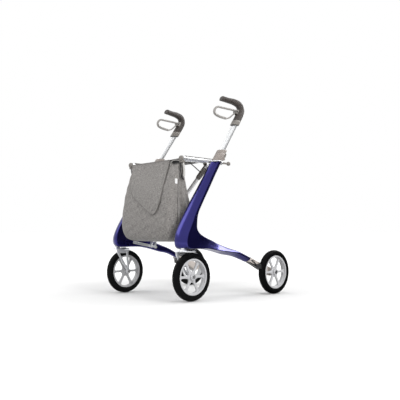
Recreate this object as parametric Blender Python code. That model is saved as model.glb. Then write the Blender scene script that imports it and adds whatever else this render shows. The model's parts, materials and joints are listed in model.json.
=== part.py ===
"""Four-wheel rollator with two moulded side frames, a sideways scissor fold and a hanging bag.

Metres, +Z up. The user walks towards -Y, so the front wheels lie at -Y and the user's left is +X.
The origin is on the floor, under the middle of the frame. Every left-hand piece is modelled at +X, and
its right-hand twin is the same shape mirrored in the plane x = 0.
"""
import math

import bmesh
import bpy
import numpy as np
from mathutils import Matrix, Vector

# Gaps: between pieces that touch, between a pin and its hole, and beside a turning piece; and how far a
# cutting shape reaches past what it cuts
TOUCH = 0.0003
RUNNING = 0.0003
SIDE_PLAY = 0.0005
BEYOND = 0.030

# Wheels and where they stand
WHEEL_RADIUS = 0.100
TYRE_WIDTH = 0.031
TYRE_SEAT_RADIUS = 0.0757
RIM_HALF_WIDTH = 0.0125
WEB_HALF_WIDTH = 0.0040
WEB_INNER_RADIUS = 0.020
WEB_OUTER_RADIUS = 0.0668
HUB_RADIUS = 0.0145
SPOKES = 6
SPOKE_WIDTH = 0.0105
WINDOW_INSET = 0.0018
BARREL_WALL = 0.0065
BARREL_LIP = 0.0010
AXLE_RADIUS = 0.006
AXLE_CAP_RADIUS = 0.0085
AXLE_CAP = 0.0025
WHEELBASE = 0.465
TRACK_FRONT = 0.4634
TRACK_REAR = 0.5694
FRONT_Y = -WHEELBASE / 2
REAR_Y = WHEELBASE / 2

# Front caster
CASTER_TRAIL = 0.048
CROWN_GAP = 0.003
CROWN_THICKNESS = 0.0045
CROWN_LENGTH = 0.084
CROWN_SHIFT = 0.018
CROWN_LIP = 0.0007
PRONG_STEP = 0.0003
CROWN_WIDTH = 0.047
NECK_HEIGHT = 0.006
NECK_RADIUS = 0.0145
STEM_RADIUS = 0.010
STEM_LENGTH = 0.045
PRONG_WIDTH = 0.0085
PRONG_THICKNESS = 0.006
FRONT_PRONG = ((-0.0045, -0.0035), (-0.0175, -0.0125), (-0.0195, -0.0270), (-0.0085, -0.0460))
REAR_PRONG = ((0.0335, -0.0035), (0.0370, -0.0160), (0.0400, -0.0300), (0.0440, -0.0500))
FORK_TYRE_GAP = 0.005
FORK_BOSS_RADIUS = 0.011
STEM_X = TRACK_FRONT / 2
STEM_Y = FRONT_Y - CASTER_TRAIL
CROWN_Z = 2 * WHEEL_RADIUS + CROWN_GAP
FOOT_Z = CROWN_Z + CROWN_THICKNESS + NECK_HEIGHT

# Side frame: where its arm ends, how thick it is there, its section's corners and the steps between rows
ARM_END = (0.0925, 0.1600)
ARM_END_DEPTH = 0.0235
CORNER_RADII = (0.007, 0.014, 0.0035, 0.010, 0.008)
FRAME_STEPS = 2

# Post of the side frame: the line that the handle tube slides on, by its top point and its slopes
POST_TOP_X = 0.2168
POST_TOP_Y = -0.0727
POST_TOP_Z = 0.590
LEAN_BACK = 0.69
LEAN_IN = 0.036

# Handle tube, oval, and the clamp collar on the post
TUBE_HALF_X = 0.010
TUBE_HALF_DEPTH = 0.013
TUBE_WALL = 0.0018
TUBE_TRAVEL_DOWN = 0.120
TUBE_TRAVEL_UP = 0.100
TUBE_HELD = 0.060
TUBE_INSERTION = TUBE_TRAVEL_UP + TUBE_HELD
COLLAR_TOP_Z = 0.645
CLAMP_PIN_RADIUS = 0.002
CLAMP_BARREL_RADIUS = 0.005
CLAMP_LEVER_WIDTH = 0.017
CLAMP_LEVER_LENGTH = 0.030
CLAMP_EAR = 0.004
CLAMP_Z = 0.6035

# Grip and its brake lever
GRIP_COLLAR_Z = 0.7655
GRIP_START_Z = 0.7910
GRIP_BEND_Z = 0.7995
GRIP_HALF_WIDTH = 0.0155
GRIP_TUBE_DEPTH = 0.028
LEVER_PIVOT = Vector((0.2045, 0.0640, 0.8325))
LEVER_EYE_RADIUS = 0.0085
LEVER_EYE_WIDTH = 0.0100
LEVER_BAR_X = 0.0048
LEVER_BAR = 0.0045
CAM_RADIUS = 0.0045
EAR_WIDTH = 0.0045

# Rear end of the arm: brake casing, axle and brake
CASING_INNER_X = 0.2385
CASING_OUTER_X = 0.2640
CASING_HUB_RADIUS = 0.0190
CASING_BOSS_RADIUS = 0.013
BRAKE_PIVOT_Y = 0.109
BRAKE_PIVOT_Z = 0.154
BRAKE_PIN_RADIUS = 0.0025
ROCKER_RADIUS = 0.0060
ROCKER_THICKNESS = 0.0040
SHOE_GAP = 0.003
SHOE_THICKNESS = 0.0075
SHOE_HEIGHT = 0.020
SHOE_DROP = 0.024

# Folding cross: pivots, bars and rails
PIVOT_X = 0.1855
PIVOT_LOW_Z = 0.244
PIVOT_HIGH_Z = 0.577
BAR_RADIUS = 0.0088
BAR_Y = {"left": -0.123, "right": -0.097}
EYE_RADIUS = BAR_RADIUS + 0.0004
EYE_HALF_WIDTH = BAR_RADIUS + 0.0002
PIN_RADIUS = 0.004
BOLT_HEAD_RADIUS = 0.0075
BOLT_HEAD = 0.004
SLEEVE_START = 0.0045
SLEEVE_LENGTH = 0.068
SLEEVE_WALL = 0.0022
LUG = 0.003
BRACKET_THICKNESS = 0.003
BRACKET_HEIGHT = 0.016
BRACKET_FRONT = (-0.210, 0.2345)
BRACKET_REAR = (-0.066, 0.2085)
FRAME_INNER_X = 0.2035
RAIL_X = 0.178
RAIL_Z = 0.594
RAIL_RADIUS = 0.011
RAIL_WALL = 0.0018
RAIL_FRONT_Y = -0.224
RAIL_REAR_Y = -0.004
KNOB_Y = 0.043
KNOB_RADIUS = 0.0095
KNOB_STEM_RADIUS = 0.0045
CONNECTOR_LENGTH = 0.026
CONNECTOR_RADIUS = 0.0118
CONNECTOR_DROP = 0.0180

# Seat, bag and the cord from the rail to the bar
SEAT_FRONT_Y = -0.222
SEAT_REAR_Y = -0.060
SEAT_THICKNESS = 0.004
SEAT_RISE = 0.0065
BAG_HALF_WIDTH = 0.162
BAG_SHIFT = -0.005
BAG_TOP_Z = 0.588
BAG_BOTTOM_Z = 0.243
BAG_WALL = 0.003
BAG_CORNER = 0.015
FLAP_THICKNESS = 0.0025
HOOK_WIDTH = 0.012
HOOK_THICKNESS = 0.004
HOOK_LENGTH = 0.056
HOOK_TOE = 0.010
CORD_RADIUS = 0.0022
CORD_POINTS = ((0.1715, -0.1960, 0.5822), (0.1640, -0.1660, 0.5725), (0.1570, -0.1380, 0.5610),
               (0.1503, -0.1105, 0.5497))

# Bag: its side view as (height, front y, back y, share of the half width), from the mouth to the base
BAG_ROWS = (
    (BAG_TOP_Z, -0.2390, -0.2070, 1.000),
    (0.5600, -0.2470, -0.2060, 1.012),
    (0.5240, -0.2590, -0.2030, 1.018),
    (0.4650, -0.2790, -0.1900, 1.030),
    (0.4000, -0.2930, -0.1700, 1.035),
    (0.3300, -0.3020, -0.1570, 1.035),
    (0.2850, -0.2980, -0.1500, 1.000),
    (0.2560, -0.2850, -0.1560, 0.930),
    (BAG_BOTTOM_Z, -0.2600, -0.1750, 0.800),
)

# Segments round turned pieces
ROUND = 18
ROUND_SMALL = 12
WHEEL_STEPS = 32


def post_point(z):
    """The point of the post's line at height z."""
    rise = z - POST_TOP_Z
    return Vector((POST_TOP_X - LEAN_IN * rise, POST_TOP_Y + LEAN_BACK * rise, z))


POST_DIRECTION = Vector((-LEAN_IN, LEAN_BACK, 1)).normalized()


def clear_scene():
    for item in list(bpy.data.objects):
        bpy.data.objects.remove(item)


def material(name, colour, roughness, metallic=0.0):
    made = bpy.data.materials.new(name)
    made.use_nodes = True
    shader = made.node_tree.nodes["Principled BSDF"]
    shader.inputs["Base Color"].default_value = (*colour, 1.0)
    shader.inputs["Roughness"].default_value = roughness
    shader.inputs["Metallic"].default_value = metallic
    made.diffuse_color = (*colour, 1.0)
    return made


# Meshes. Each shape is a list of rings with equal numbers of points, joined ring to ring.

def loft(rings, closed=False):
    """A skin over the rings. Open lofts get a flat cap at each end, closed ones run round to the start."""
    count = len(rings[0])
    verts = [tuple(p) for ring in rings for p in ring]
    faces = []
    spans = len(rings) if closed else len(rings) - 1
    for k in range(spans):
        a = k * count
        b = (k + 1) % len(rings) * count
        faces += [(a + i, a + (i + 1) % count, b + (i + 1) % count, b + i) for i in range(count)]
    if not closed:
        faces.append(tuple(range(count))[::-1])
        faces.append(tuple(range((len(rings) - 1) * count, len(rings) * count)))
    mesh = bpy.data.meshes.new("shape")
    mesh.from_pydata(verts, [], faces)
    return outward(mesh)


def outward(mesh):
    work = bmesh.new()
    work.from_mesh(mesh)
    bmesh.ops.recalc_face_normals(work, faces=work.faces)
    if work.calc_volume(signed=True) < 0:
        bmesh.ops.reverse_faces(work, faces=work.faces)
    work.to_mesh(mesh)
    work.free()
    return mesh


def mirrored(mesh):
    twin = mesh.copy()
    twin.transform(Matrix.Scale(-1, 4, Vector((1, 0, 0))))
    return outward(twin)


def frame_of(direction):
    """Two directions square to the given one, the first as near to +X as it can be."""
    along = direction.normalized()
    side = Vector((1, 0, 0)) - along * along.x
    if side.length < 0.1:
        side = Vector((0, 1, 0)) - along * along.y
    side.normalize()
    return side, along.cross(side)


def ellipse(centre, direction, half_side, half_up, count=ROUND):
    side, up = frame_of(direction)
    turns = [2 * math.pi * i / count for i in range(count)]
    return [centre + side * half_side * math.cos(t) + up * half_up * math.sin(t) for t in turns]


def rod(start, end, radius, end_radius=None, count=ROUND):
    """A round bar from start to end."""
    way = end - start
    last = radius if end_radius is None else end_radius
    return loft([ellipse(start, way, radius, radius, count), ellipse(end, way, last, last, count)])


def turned(centre, direction, profile, count=ROUND):
    """A turned piece: the profile gives (distance along the axis, radius), from one end to the other."""
    along = direction.normalized()
    return loft([ellipse(centre + along * d, along, r, r, count) for d, r in profile])


def turned_ring(centre, direction, profile, count):
    """A turned piece with a bore: the profile is a closed outline of (distance along the axis, radius)."""
    side, up = frame_of(direction)
    along = direction.normalized()
    rings = []
    for k in range(count):
        t = 2 * math.pi * k / count
        out = side * math.cos(t) + up * math.sin(t)
        rings.append([centre + along * d + out * r for d, r in profile])
    return loft(rings, closed=True)


def oval_bar(start, end, half_x, half_depth, count=ROUND):
    way = end - start
    return loft([ellipse(point, way, half_x, half_depth, count) for point in (start, end)])


def block(low, high):
    (x0, y0, z0), (x1, y1, z1) = low, high
    corners = ((x0, y0), (x1, y0), (x1, y1), (x0, y1))
    return loft([[Vector((x, y, z)) for x, y in corners] for z in (z0, z1)])


def rounded(corners, radii, steps=3):
    """The corners' polygon with each corner drawn as a short curve that starts radii[k] before it."""
    points = []
    total = len(corners)
    for k in range(total):
        here, before, after = corners[k], corners[k - 1], corners[(k + 1) % total]
        back, on = before - here, after - here
        start = here + back * min(radii[k] / back.length, 0.48)
        end = here + on * min(radii[k] / on.length, 0.48)
        for i in range(steps):
            t = i / (steps - 1)
            points.append(start * (1 - t) ** 2 + here * 2 * t * (1 - t) + end * t ** 2)
    return points


def rounded_rectangle(centre, width, depth, radius, steps=4):
    """A level rounded rectangle, width along X and depth along Y."""
    w, d = width / 2, depth / 2
    corners = [centre + Vector(c) for c in ((-w, -d, 0), (w, -d, 0), (w, d, 0), (-w, d, 0))]
    return rounded(corners, [radius] * 4, steps)


def smooth_path(points, steps, closed=False):
    """Points on a smooth curve through the given ones, with that many steps between two of them."""
    knots = [np.array(p, float) for p in points]
    total = len(knots)
    found = []
    for k in range(total if closed else total - 1):
        def knot(i):
            return knots[i % total] if closed else knots[min(max(i, 0), total - 1)]
        a, b, c, d = knot(k - 1), knot(k), knot(k + 1), knot(k + 2)
        for i in range(steps):
            t = i / steps
            found.append(0.5 * (2 * b + (c - a) * t + (2 * a - 5 * b + 4 * c - d) * t ** 2
                                + (3 * b - a - 3 * c + d) * t ** 3))
    if not closed:
        found.append(knots[-1])
    return found


def swept(points, halves, count=ROUND):
    """A bar along the points, with elliptic rings of half width and half height halves[k]."""
    spine = [Vector(p) for p in points]
    rings = []
    for k, point in enumerate(spine):
        way = spine[min(k + 1, len(spine) - 1)] - spine[max(k - 1, 0)]
        rings.append(ellipse(point, way, halves[k][0], halves[k][1], count))
    return loft(rings)


def extruded(outline, direction):
    """A flat outline of points carried along a direction."""
    return loft([outline, [p + direction for p in outline]])


# Objects

def add(name, mesh, finish, origin=Vector((0, 0, 0)), sharp=35):
    """Puts the mesh into a named object whose origin is the given point, for instance on its joint's axis."""
    made = mesh.copy()
    made.name = name
    made.transform(Matrix.Translation(-origin))
    made.shade_smooth()
    made.set_sharp_from_angle(angle=math.radians(sharp))
    made.materials.append(finish)
    item = bpy.data.objects.new(name, made)
    item.location = origin
    bpy.context.scene.collection.objects.link(item)
    return item


def tool(name, mesh):
    """A shape that only cuts or joins another piece."""
    item = bpy.data.objects.new(name, mesh)
    item.hide_render = True
    item.display_type = "WIRE"
    bpy.context.scene.collection.objects.link(item)
    return item


def combine(item, mesh, operation):
    helper = tool(item.name + "_tool", mesh)
    modifier = item.modifiers.new(operation.title(), "BOOLEAN")
    modifier.operation = operation
    modifier.solver = "EXACT"
    modifier.object = helper
    return item


def join(item, *meshes):
    for mesh in meshes:
        combine(item, mesh, "UNION")
    return item


def cut(item, *meshes):
    for mesh in meshes:
        combine(item, mesh, "DIFFERENCE")
    return item


def pair(name, mesh, finish, origin=Vector((0, 0, 0)), joined=(), cuts=(), sharp=35):
    """The left-hand piece and its mirrored right-hand twin, each with the same joined and cut shapes."""
    for side in ("left", "right"):
        def seen(shape):
            return shape.copy() if side == "left" else mirrored(shape)
        spot = origin if side == "left" else Vector((-origin.x, origin.y, origin.z))
        item = add(f"{name}_{side}", seen(mesh), finish, spot, sharp)
        join(item, *[seen(m) for m in joined])
        cut(item, *[seen(m) for m in cuts])


# Side frame: one moulding, drawn as sections from the post's top round the foot to the arm's end.
# A section runs from its outer edge O, at the front or underneath, to its inner edge I, at the back or
# on top. Each row: O's y and z, I's y and z, the inner and outer x, and how far from O to I the crease lies.

def post_row(z, front, back, inner_x, outer_x, crease):
    y = post_point(z).y
    return (y - front, z, y + back, z, inner_x, outer_x, crease)


def arm_end_ways():
    """The way from the arm's end to the rear hub, and the way square to it, upwards."""
    along = Vector((0, REAR_Y - ARM_END[0], WHEEL_RADIUS - ARM_END[1])).normalized()
    return along, Vector((0, -along.z, along.y))


def frame_rows():
    y, z = STEM_Y, FOOT_Z
    end_y, end_z = ARM_END
    half_end = ARM_END_DEPTH / 2
    _, across = arm_end_ways()
    return [
        post_row(POST_TOP_Z, 0.0205, 0.0205, 0.1988, 0.2348, 0.34),
        post_row(0.530, 0.0225, 0.0205, 0.2005, 0.2385, 0.40),
        post_row(0.470, 0.0240, 0.0212, 0.2025, 0.2440, 0.46),
        post_row(0.410, 0.0256, 0.0205, FRAME_INNER_X, 0.2500, 0.50),
        post_row(0.360, 0.0235, 0.0240, FRAME_INNER_X, 0.2545, 0.50),
        (y - 0.0105, z + 0.0850, y + 0.0630, z + 0.1060, FRAME_INNER_X, 0.2590, 0.42),
        (y - 0.0240, z + 0.0420, y + 0.0620, z + 0.0840, FRAME_INNER_X, 0.2620, 0.28),
        (y - 0.0190, z + 0.0100, y + 0.0740, z + 0.0680, FRAME_INNER_X, 0.2630, 0.17),
        (y + 0.0060, z, y + 0.0960, z + 0.0555, FRAME_INNER_X, 0.2630, 0.09),
        (y + 0.0640, z, y + 0.1290, z + 0.0440, FRAME_INNER_X, 0.2620, 0.05),
        (-0.1560, 0.2115, -0.1200, 0.2490, FRAME_INNER_X, 0.2610, 0.06),
        (-0.1010, 0.2010, -0.0780, 0.2330, FRAME_INNER_X, 0.2605, 0.12),
        (-0.0420, 0.1860, -0.0270, 0.2160, 0.2065, 0.2605, 0.42),
        (end_y - 0.074, end_z + 0.0150, end_y - 0.0650, end_z + 0.0395, 0.2160, 0.2620, 0.60),
        (end_y - across.y * half_end, end_z - across.z * half_end, end_y + across.y * half_end,
         end_z + across.z * half_end, 0.2290, CASING_OUTER_X, 0.62),
    ]


def frame_section(row):
    o_y, o_z, i_y, i_z, inner_x, outer_x, crease = row
    width = outer_x - inner_x
    front = inner_x + 0.42 * width
    edge_y, edge_z = o_y + crease * (i_y - o_y), o_z + crease * (i_z - o_z)
    corners = [
        Vector((inner_x, o_y, o_z)),
        Vector((front, o_y, o_z)),
        Vector((outer_x, edge_y, edge_z)),
        Vector((outer_x - 0.08 * width, i_y, i_z)),
        Vector((inner_x, i_y, i_z)),
    ]
    return rounded(corners, CORNER_RADII)


def side_frames(blue):
    rows = smooth_path(frame_rows(), FRAME_STEPS)
    shape = loft([frame_section(row) for row in rows])
    top = post_point(POST_TOP_Z) + POST_DIRECTION * 0.02
    bottom = post_point(POST_TOP_Z) - POST_DIRECTION * (TUBE_INSERTION + TUBE_TRAVEL_DOWN + 0.004)
    tube_hole = oval_bar(bottom, top, TUBE_HALF_X + RUNNING, TUBE_HALF_DEPTH + RUNNING)
    stem = Vector((STEM_X, STEM_Y, 0))
    stem_hole = rod(stem + Vector((0, 0, FOOT_Z - 0.01)), stem + Vector((0, 0, FOOT_Z + STEM_LENGTH + TOUCH)),
                    STEM_RADIUS + RUNNING)
    pair("side_frame", shape, blue, cuts=(tube_hole, stem_hole), sharp=50)


# Handle: tube, grip and collars

def clamp_origin():
    centre = post_point(CLAMP_Z)
    back = centre.y + collar_size(CLAMP_Z)[1] / 2
    return Vector((centre.x, back + CLAMP_BARREL_RADIUS + 0.0012, CLAMP_Z))


def collar_size(z):
    """Width and depth of the clamp collar at height z."""
    t = (z - POST_TOP_Z) / (COLLAR_TOP_Z - POST_TOP_Z)
    return 0.0365 - 0.002 * t, 0.0420 - 0.003 * t


def post_collars(beige):
    base = POST_TOP_Z + TOUCH
    levels = ((base, 1.0), (base + 0.02, 1.0), (COLLAR_TOP_Z - 0.004, 1.0), (COLLAR_TOP_Z, 0.93))
    rings = []
    for z, scale in levels:
        width, depth = collar_size(z)
        rings.append(rounded_rectangle(post_point(z), width * scale, depth * scale, 0.011, 5))
    hole = oval_bar(post_point(POST_TOP_Z - 0.02), post_point(COLLAR_TOP_Z + 0.02),
                    TUBE_HALF_X + RUNNING, TUBE_HALF_DEPTH + RUNNING)
    pivot = clamp_origin()
    half = CLAMP_LEVER_WIDTH / 2 + SIDE_PLAY + CLAMP_EAR
    ears = block((pivot.x - half, pivot.y - 0.012, pivot.z - 0.006), (pivot.x + half, pivot.y + 0.0045,
                                                                     pivot.z + 0.006))
    slot_half = CLAMP_LEVER_WIDTH / 2 + SIDE_PLAY
    slot = turned(pivot - Vector((slot_half, 0, 0)), Vector((1, 0, 0)),
                  ((0, CLAMP_BARREL_RADIUS + 0.0008), (2 * slot_half, CLAMP_BARREL_RADIUS + 0.0008)))
    slot_mouth = block((pivot.x - slot_half, pivot.y - 0.002, pivot.z - 0.012),
                       (pivot.x + slot_half, pivot.y + 0.02, pivot.z + 0.012))
    pin_hole = rod(pivot - Vector((half + 0.01, 0, 0)), pivot + Vector((half + 0.01, 0, 0)),
                   CLAMP_PIN_RADIUS + RUNNING, count=ROUND_SMALL)
    pair("post_collar", loft(rings), beige, joined=(ears,), cuts=(hole, slot, slot_mouth, pin_hole))


def clamp_levers(dark):
    pivot = clamp_origin()
    half = CLAMP_LEVER_WIDTH / 2
    reach = half + SIDE_PLAY + CLAMP_EAR
    barrel = rod(pivot - Vector((half, 0, 0)), pivot + Vector((half, 0, 0)), CLAMP_BARREL_RADIUS)
    pin = rod(pivot - Vector((reach, 0, 0)), pivot + Vector((reach, 0, 0)), CLAMP_PIN_RADIUS,
              count=ROUND_SMALL)
    start = pivot + Vector((0, 0.0008, 0.002))
    end = pivot + POST_DIRECTION * CLAMP_LEVER_LENGTH + Vector((0, 0.003, 0))
    blade = swept([start, start.lerp(end, 0.5) + Vector((0, 0.001, 0)), end],
                  [(half, 0.0035), (half, 0.0042), (half * 0.85, 0.0028)])
    pair("clamp_lever", barrel, dark, origin=pivot, joined=(pin, blade))


def handle_tubes(silver):
    low = post_point(POST_TOP_Z) - POST_DIRECTION * TUBE_INSERTION
    high = post_point(GRIP_START_Z) + POST_DIRECTION * (GRIP_TUBE_DEPTH - TOUCH)
    bore = oval_bar(low - POST_DIRECTION * 0.01, high + POST_DIRECTION * 0.01, TUBE_HALF_X - TUBE_WALL,
                    TUBE_HALF_DEPTH - TUBE_WALL)
    pair("handle_tube", oval_bar(low, high, TUBE_HALF_X, TUBE_HALF_DEPTH, 24), silver,
         origin=post_point(POST_TOP_Z), cuts=(bore,))


def grip_path():
    """The grip's middle line and half sizes: up the post's line, over a bend, then forwards to the tip."""
    start = post_point(GRIP_START_Z)
    bend = post_point(GRIP_BEND_Z)
    tip = Vector((0.1935, -0.0160, 0.8830))
    stations = [
        (*(start - POST_DIRECTION * 0.014), GRIP_HALF_WIDTH, 0.0185),
        (*bend, GRIP_HALF_WIDTH, 0.0185),
        (bend.x - 0.0015, bend.y + 0.0160, bend.z + 0.0240, GRIP_HALF_WIDTH, 0.0178),
        (bend.x - 0.0035, bend.y + 0.0270, bend.z + 0.0480, GRIP_HALF_WIDTH, 0.0165),
        (bend.x - 0.0060, bend.y + 0.0160, bend.z + 0.0690, GRIP_HALF_WIDTH, 0.0155),
        (0.2010, 0.0580, 0.8750, 0.0152, 0.0135),
        (0.1970, 0.0180, 0.8795, 0.0145, 0.0115),
        (tip.x, tip.y, tip.z, 0.0140, 0.0115),
    ]
    return smooth_path(stations, 3)


def grips(dark_rubber):
    rows = grip_path()
    points = [row[:3] for row in rows]
    halves = [row[3:] for row in rows]
    nose = Vector(points[-1]) + (Vector(points[-1]) - Vector(points[-2])).normalized() * 0.004
    shape = swept(points + [nose], halves + [halves[-1] * 0.62], 14)
    start = post_point(GRIP_START_Z)
    hole = oval_bar(start - POST_DIRECTION * BEYOND, start + POST_DIRECTION * GRIP_TUBE_DEPTH,
                    TUBE_HALF_X + RUNNING, TUBE_HALF_DEPTH + RUNNING)
    p = LEVER_PIVOT
    away = Vector((BEYOND, 0, 0))
    half = LEVER_EYE_WIDTH / 2 + SIDE_PLAY
    lug = extruded([p + Vector((-half - EAR_WIDTH, y, z)) for y, z in
                    ((-0.0075, -0.006), (-0.004, -0.0105), (0.024, -0.0150), (0.030, 0.012), (0.002, 0.0095),
                     (-0.0075, 0.005))], Vector((2 * (half + EAR_WIDTH), 0, 0)))
    room = LEVER_EYE_RADIUS + 0.0008
    slot = rod(p - Vector((half, 0, 0)), p + Vector((half, 0, 0)), room)
    mouth = block((p.x - half, p.y - BEYOND, p.z - BEYOND), (p.x + half, p.y + 0.004, p.z + room))
    pin_hole = rod(p - away, p + away, CAM_RADIUS + RUNNING, count=ROUND_SMALL)
    below = block((start.x - 2 * BEYOND, start.y - 4 * BEYOND, start.z - 2 * BEYOND),
                  (start.x + 2 * BEYOND, start.y + 4 * BEYOND, start.z))
    pair("grip", shape, dark_rubber, joined=(lug,), cuts=(below, hole, slot, mouth, pin_hole), sharp=40)


def grip_collars(grey):
    rings = []
    for z, scale in ((GRIP_COLLAR_Z, 0.93), (GRIP_COLLAR_Z + 0.004, 1.0), (GRIP_START_Z - TOUCH - 0.002, 1.0),
                     (GRIP_START_Z - TOUCH, 0.97)):
        centre = post_point(z)
        ring = rounded_rectangle(centre, 0.0295 * scale, 0.0415 * scale, 0.013, 5)
        rings.append(ring)
    hole = oval_bar(post_point(GRIP_COLLAR_Z - BEYOND), post_point(GRIP_START_Z + BEYOND),
                    TUBE_HALF_X + RUNNING, TUBE_HALF_DEPTH + RUNNING)
    pair("grip_collar", loft(rings), grey, cuts=(hole,))


def lever_loop():
    """The middle line of the lever's bar: out of the eye at the top, round the loop and back into the eye."""
    p = LEVER_PIVOT
    outline = (
        (-0.0060, 0.0050), (-0.0250, 0.0055), (-0.0800, 0.0068), (-0.1110, 0.0068), (-0.1265, -0.0035),
        (-0.1310, -0.0170), (-0.1235, -0.0280), (-0.1000, -0.0350), (-0.0620, -0.0385), (-0.0380, -0.0315),
        (-0.0190, -0.0170), (-0.0030, -0.0058),
    )
    return [(p.x + 0.045 * y, p.y + y, p.z + z) for y, z in outline]


def brake_levers(grey):
    spine = smooth_path(lever_loop(), 3)
    loop = swept(spine, [(LEVER_BAR_X, LEVER_BAR)] * len(spine), 8)
    half = Vector((LEVER_EYE_WIDTH / 2, 0, 0))
    eye = rod(LEVER_PIVOT - half, LEVER_PIVOT + half, LEVER_EYE_RADIUS)
    hole = rod(LEVER_PIVOT - 2 * half, LEVER_PIVOT + 2 * half, CAM_RADIUS + RUNNING, count=ROUND_SMALL)
    pair("brake_lever", eye, grey, origin=LEVER_PIVOT, joined=(loop,), cuts=(hole,))
    reach = Vector((LEVER_EYE_WIDTH / 2 + SIDE_PLAY + EAR_WIDTH, 0, 0))
    cam = rod(LEVER_PIVOT - reach, LEVER_PIVOT + reach, CAM_RADIUS, count=ROUND_SMALL)
    pair("brake_cam", cam, grey, origin=LEVER_PIVOT)


# Wheels

def rim_mesh():
    """A rim about the X axis: hub, web and rim channel, one turned shape."""
    w, r = RIM_HALF_WIDTH, TYRE_SEAT_RADIUS
    half = [
        (AXLE_RADIUS + RUNNING, w), (HUB_RADIUS, w), (WEB_INNER_RADIUS, WEB_HALF_WIDTH),
        (WEB_OUTER_RADIUS, WEB_HALF_WIDTH), (r - BARREL_WALL, w - BARREL_LIP), (r, w),
    ]
    outline = [(d, radius) for radius, d in half] + [(-d, radius) for radius, d in reversed(half)]
    return turned_ring(Vector((0, 0, 0)), Vector((1, 0, 0)), outline, WHEEL_STEPS)


def window_mesh(index):
    """One opening of the rim: a rounded wedge between two spokes, widest at the rim."""
    middle = 2 * math.pi * (index + 0.5) / SPOKES
    inner = WEB_INNER_RADIUS + WINDOW_INSET
    outer = WEB_OUTER_RADIUS - WINDOW_INSET
    step = math.pi / SPOKES
    corners = []
    for radius, sign in ((inner, -1), (outer, -1), (outer, 1), (inner, 1)):
        spread = step - (SPOKE_WIDTH / 2) / radius if radius == outer else max(
            step - (SPOKE_WIDTH / 2) / radius, 0.09)
        angle = middle + sign * spread
        corners.append(Vector((-0.02, radius * math.cos(angle), radius * math.sin(angle))))
    bulge = Vector((-0.02, outer * 1.03 * math.cos(middle), outer * 1.03 * math.sin(middle)))
    corners.insert(2, bulge)
    return extruded(rounded(corners, (0.004, 0.012, 0.012, 0.012, 0.004), 2), Vector((0.04, 0, 0)))


def tyre_mesh():
    seat = TYRE_SEAT_RADIUS + TOUCH
    w = TYRE_WIDTH / 2
    half = [(RIM_HALF_WIDTH - 0.0005, seat), (w, seat + 0.0055), (w - 0.0015, WHEEL_RADIUS - 0.0075),
            (w - 0.0065, WHEEL_RADIUS - 0.0016), (0.0032, WHEEL_RADIUS)]
    outline = half + [(-d, radius) for d, radius in reversed(half)]
    return turned_ring(Vector((0, 0, 0)), Vector((1, 0, 0)), outline, WHEEL_STEPS)


def moved(mesh, offset):
    made = mesh.copy()
    made.transform(Matrix.Translation(offset))
    return made


def wheels(rim_grey, tyre_black):
    for end, track, y in (("front", TRACK_FRONT, FRONT_Y), ("rear", TRACK_REAR, REAR_Y)):
        hub = Vector((track / 2, y, WHEEL_RADIUS))
        windows = [moved(window_mesh(k), hub) for k in range(SPOKES)]
        pair(end + "_rim", moved(rim_mesh(), hub), rim_grey, origin=hub, cuts=windows)
        pair(end + "_tyre", moved(tyre_mesh(), hub), tyre_black, origin=hub)


def caster_forks(silver, steel):
    hub = Vector((STEM_X, FRONT_Y, WHEEL_RADIUS))
    fork_outer_x = STEM_X - TYRE_WIDTH / 2 - FORK_TYRE_GAP
    fork_x = fork_outer_x - PRONG_THICKNESS / 2
    inner_x = fork_x - PRONG_THICKNESS / 2
    top = CROWN_Z + CROWN_THICKNESS
    middle = Vector((inner_x - CROWN_LIP + CROWN_WIDTH / 2, STEM_Y + CROWN_SHIFT, CROWN_Z))
    crown = loft([rounded_rectangle(middle, CROWN_WIDTH - 0.001, CROWN_LENGTH, 0.014, 5),
                  rounded_rectangle(middle + Vector((0, 0, 0.001)), CROWN_WIDTH, CROWN_LENGTH, 0.014, 5),
                  rounded_rectangle(middle + Vector((0, 0, CROWN_THICKNESS)), CROWN_WIDTH - 0.001,
                                    CROWN_LENGTH - 0.003, 0.014, 5)])
    stem = turned(Vector((STEM_X, STEM_Y, 0)), Vector((0, 0, 1)),
                  ((top - 0.001, NECK_RADIUS), (top + 0.0035, NECK_RADIUS),
                   (FOOT_Z - TOUCH, NECK_RADIUS * 0.8), (FOOT_Z - TOUCH, STEM_RADIUS),
                   (FOOT_Z + STEM_LENGTH, STEM_RADIUS)))
    prongs = []
    half = PRONG_THICKNESS / 2
    for line, half_thickness in ((FRONT_PRONG, half), (REAR_PRONG, half - PRONG_STEP)):
        path = smooth_path([(fork_x, STEM_Y + y, top + z) for y, z in line] + [(fork_x, hub.y, hub.z)], 2)
        prongs.append(swept(path, [(half_thickness, PRONG_WIDTH / 2)] * len(path), 10))
    boss = turned(Vector((inner_x - 0.001, hub.y, hub.z)), Vector((1, 0, 0)),
                  ((0, FORK_BOSS_RADIUS - 0.0006), (0.0006, FORK_BOSS_RADIUS),
                   (PRONG_THICKNESS + 0.0014, FORK_BOSS_RADIUS),
                   (STEM_X - RIM_HALF_WIDTH - SIDE_PLAY - inner_x + 0.001, FORK_BOSS_RADIUS - 0.002)))
    hole = rod(Vector((inner_x - 0.01, hub.y, hub.z)), Vector((STEM_X, hub.y, hub.z)), AXLE_RADIUS + TOUCH)
    pair("caster_fork", crown, silver, origin=Vector((STEM_X, STEM_Y, FOOT_Z)), joined=(stem, *prongs, boss),
         cuts=(hole,))
    axle("front_axle", inner_x - 0.001, hub, steel)


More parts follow.
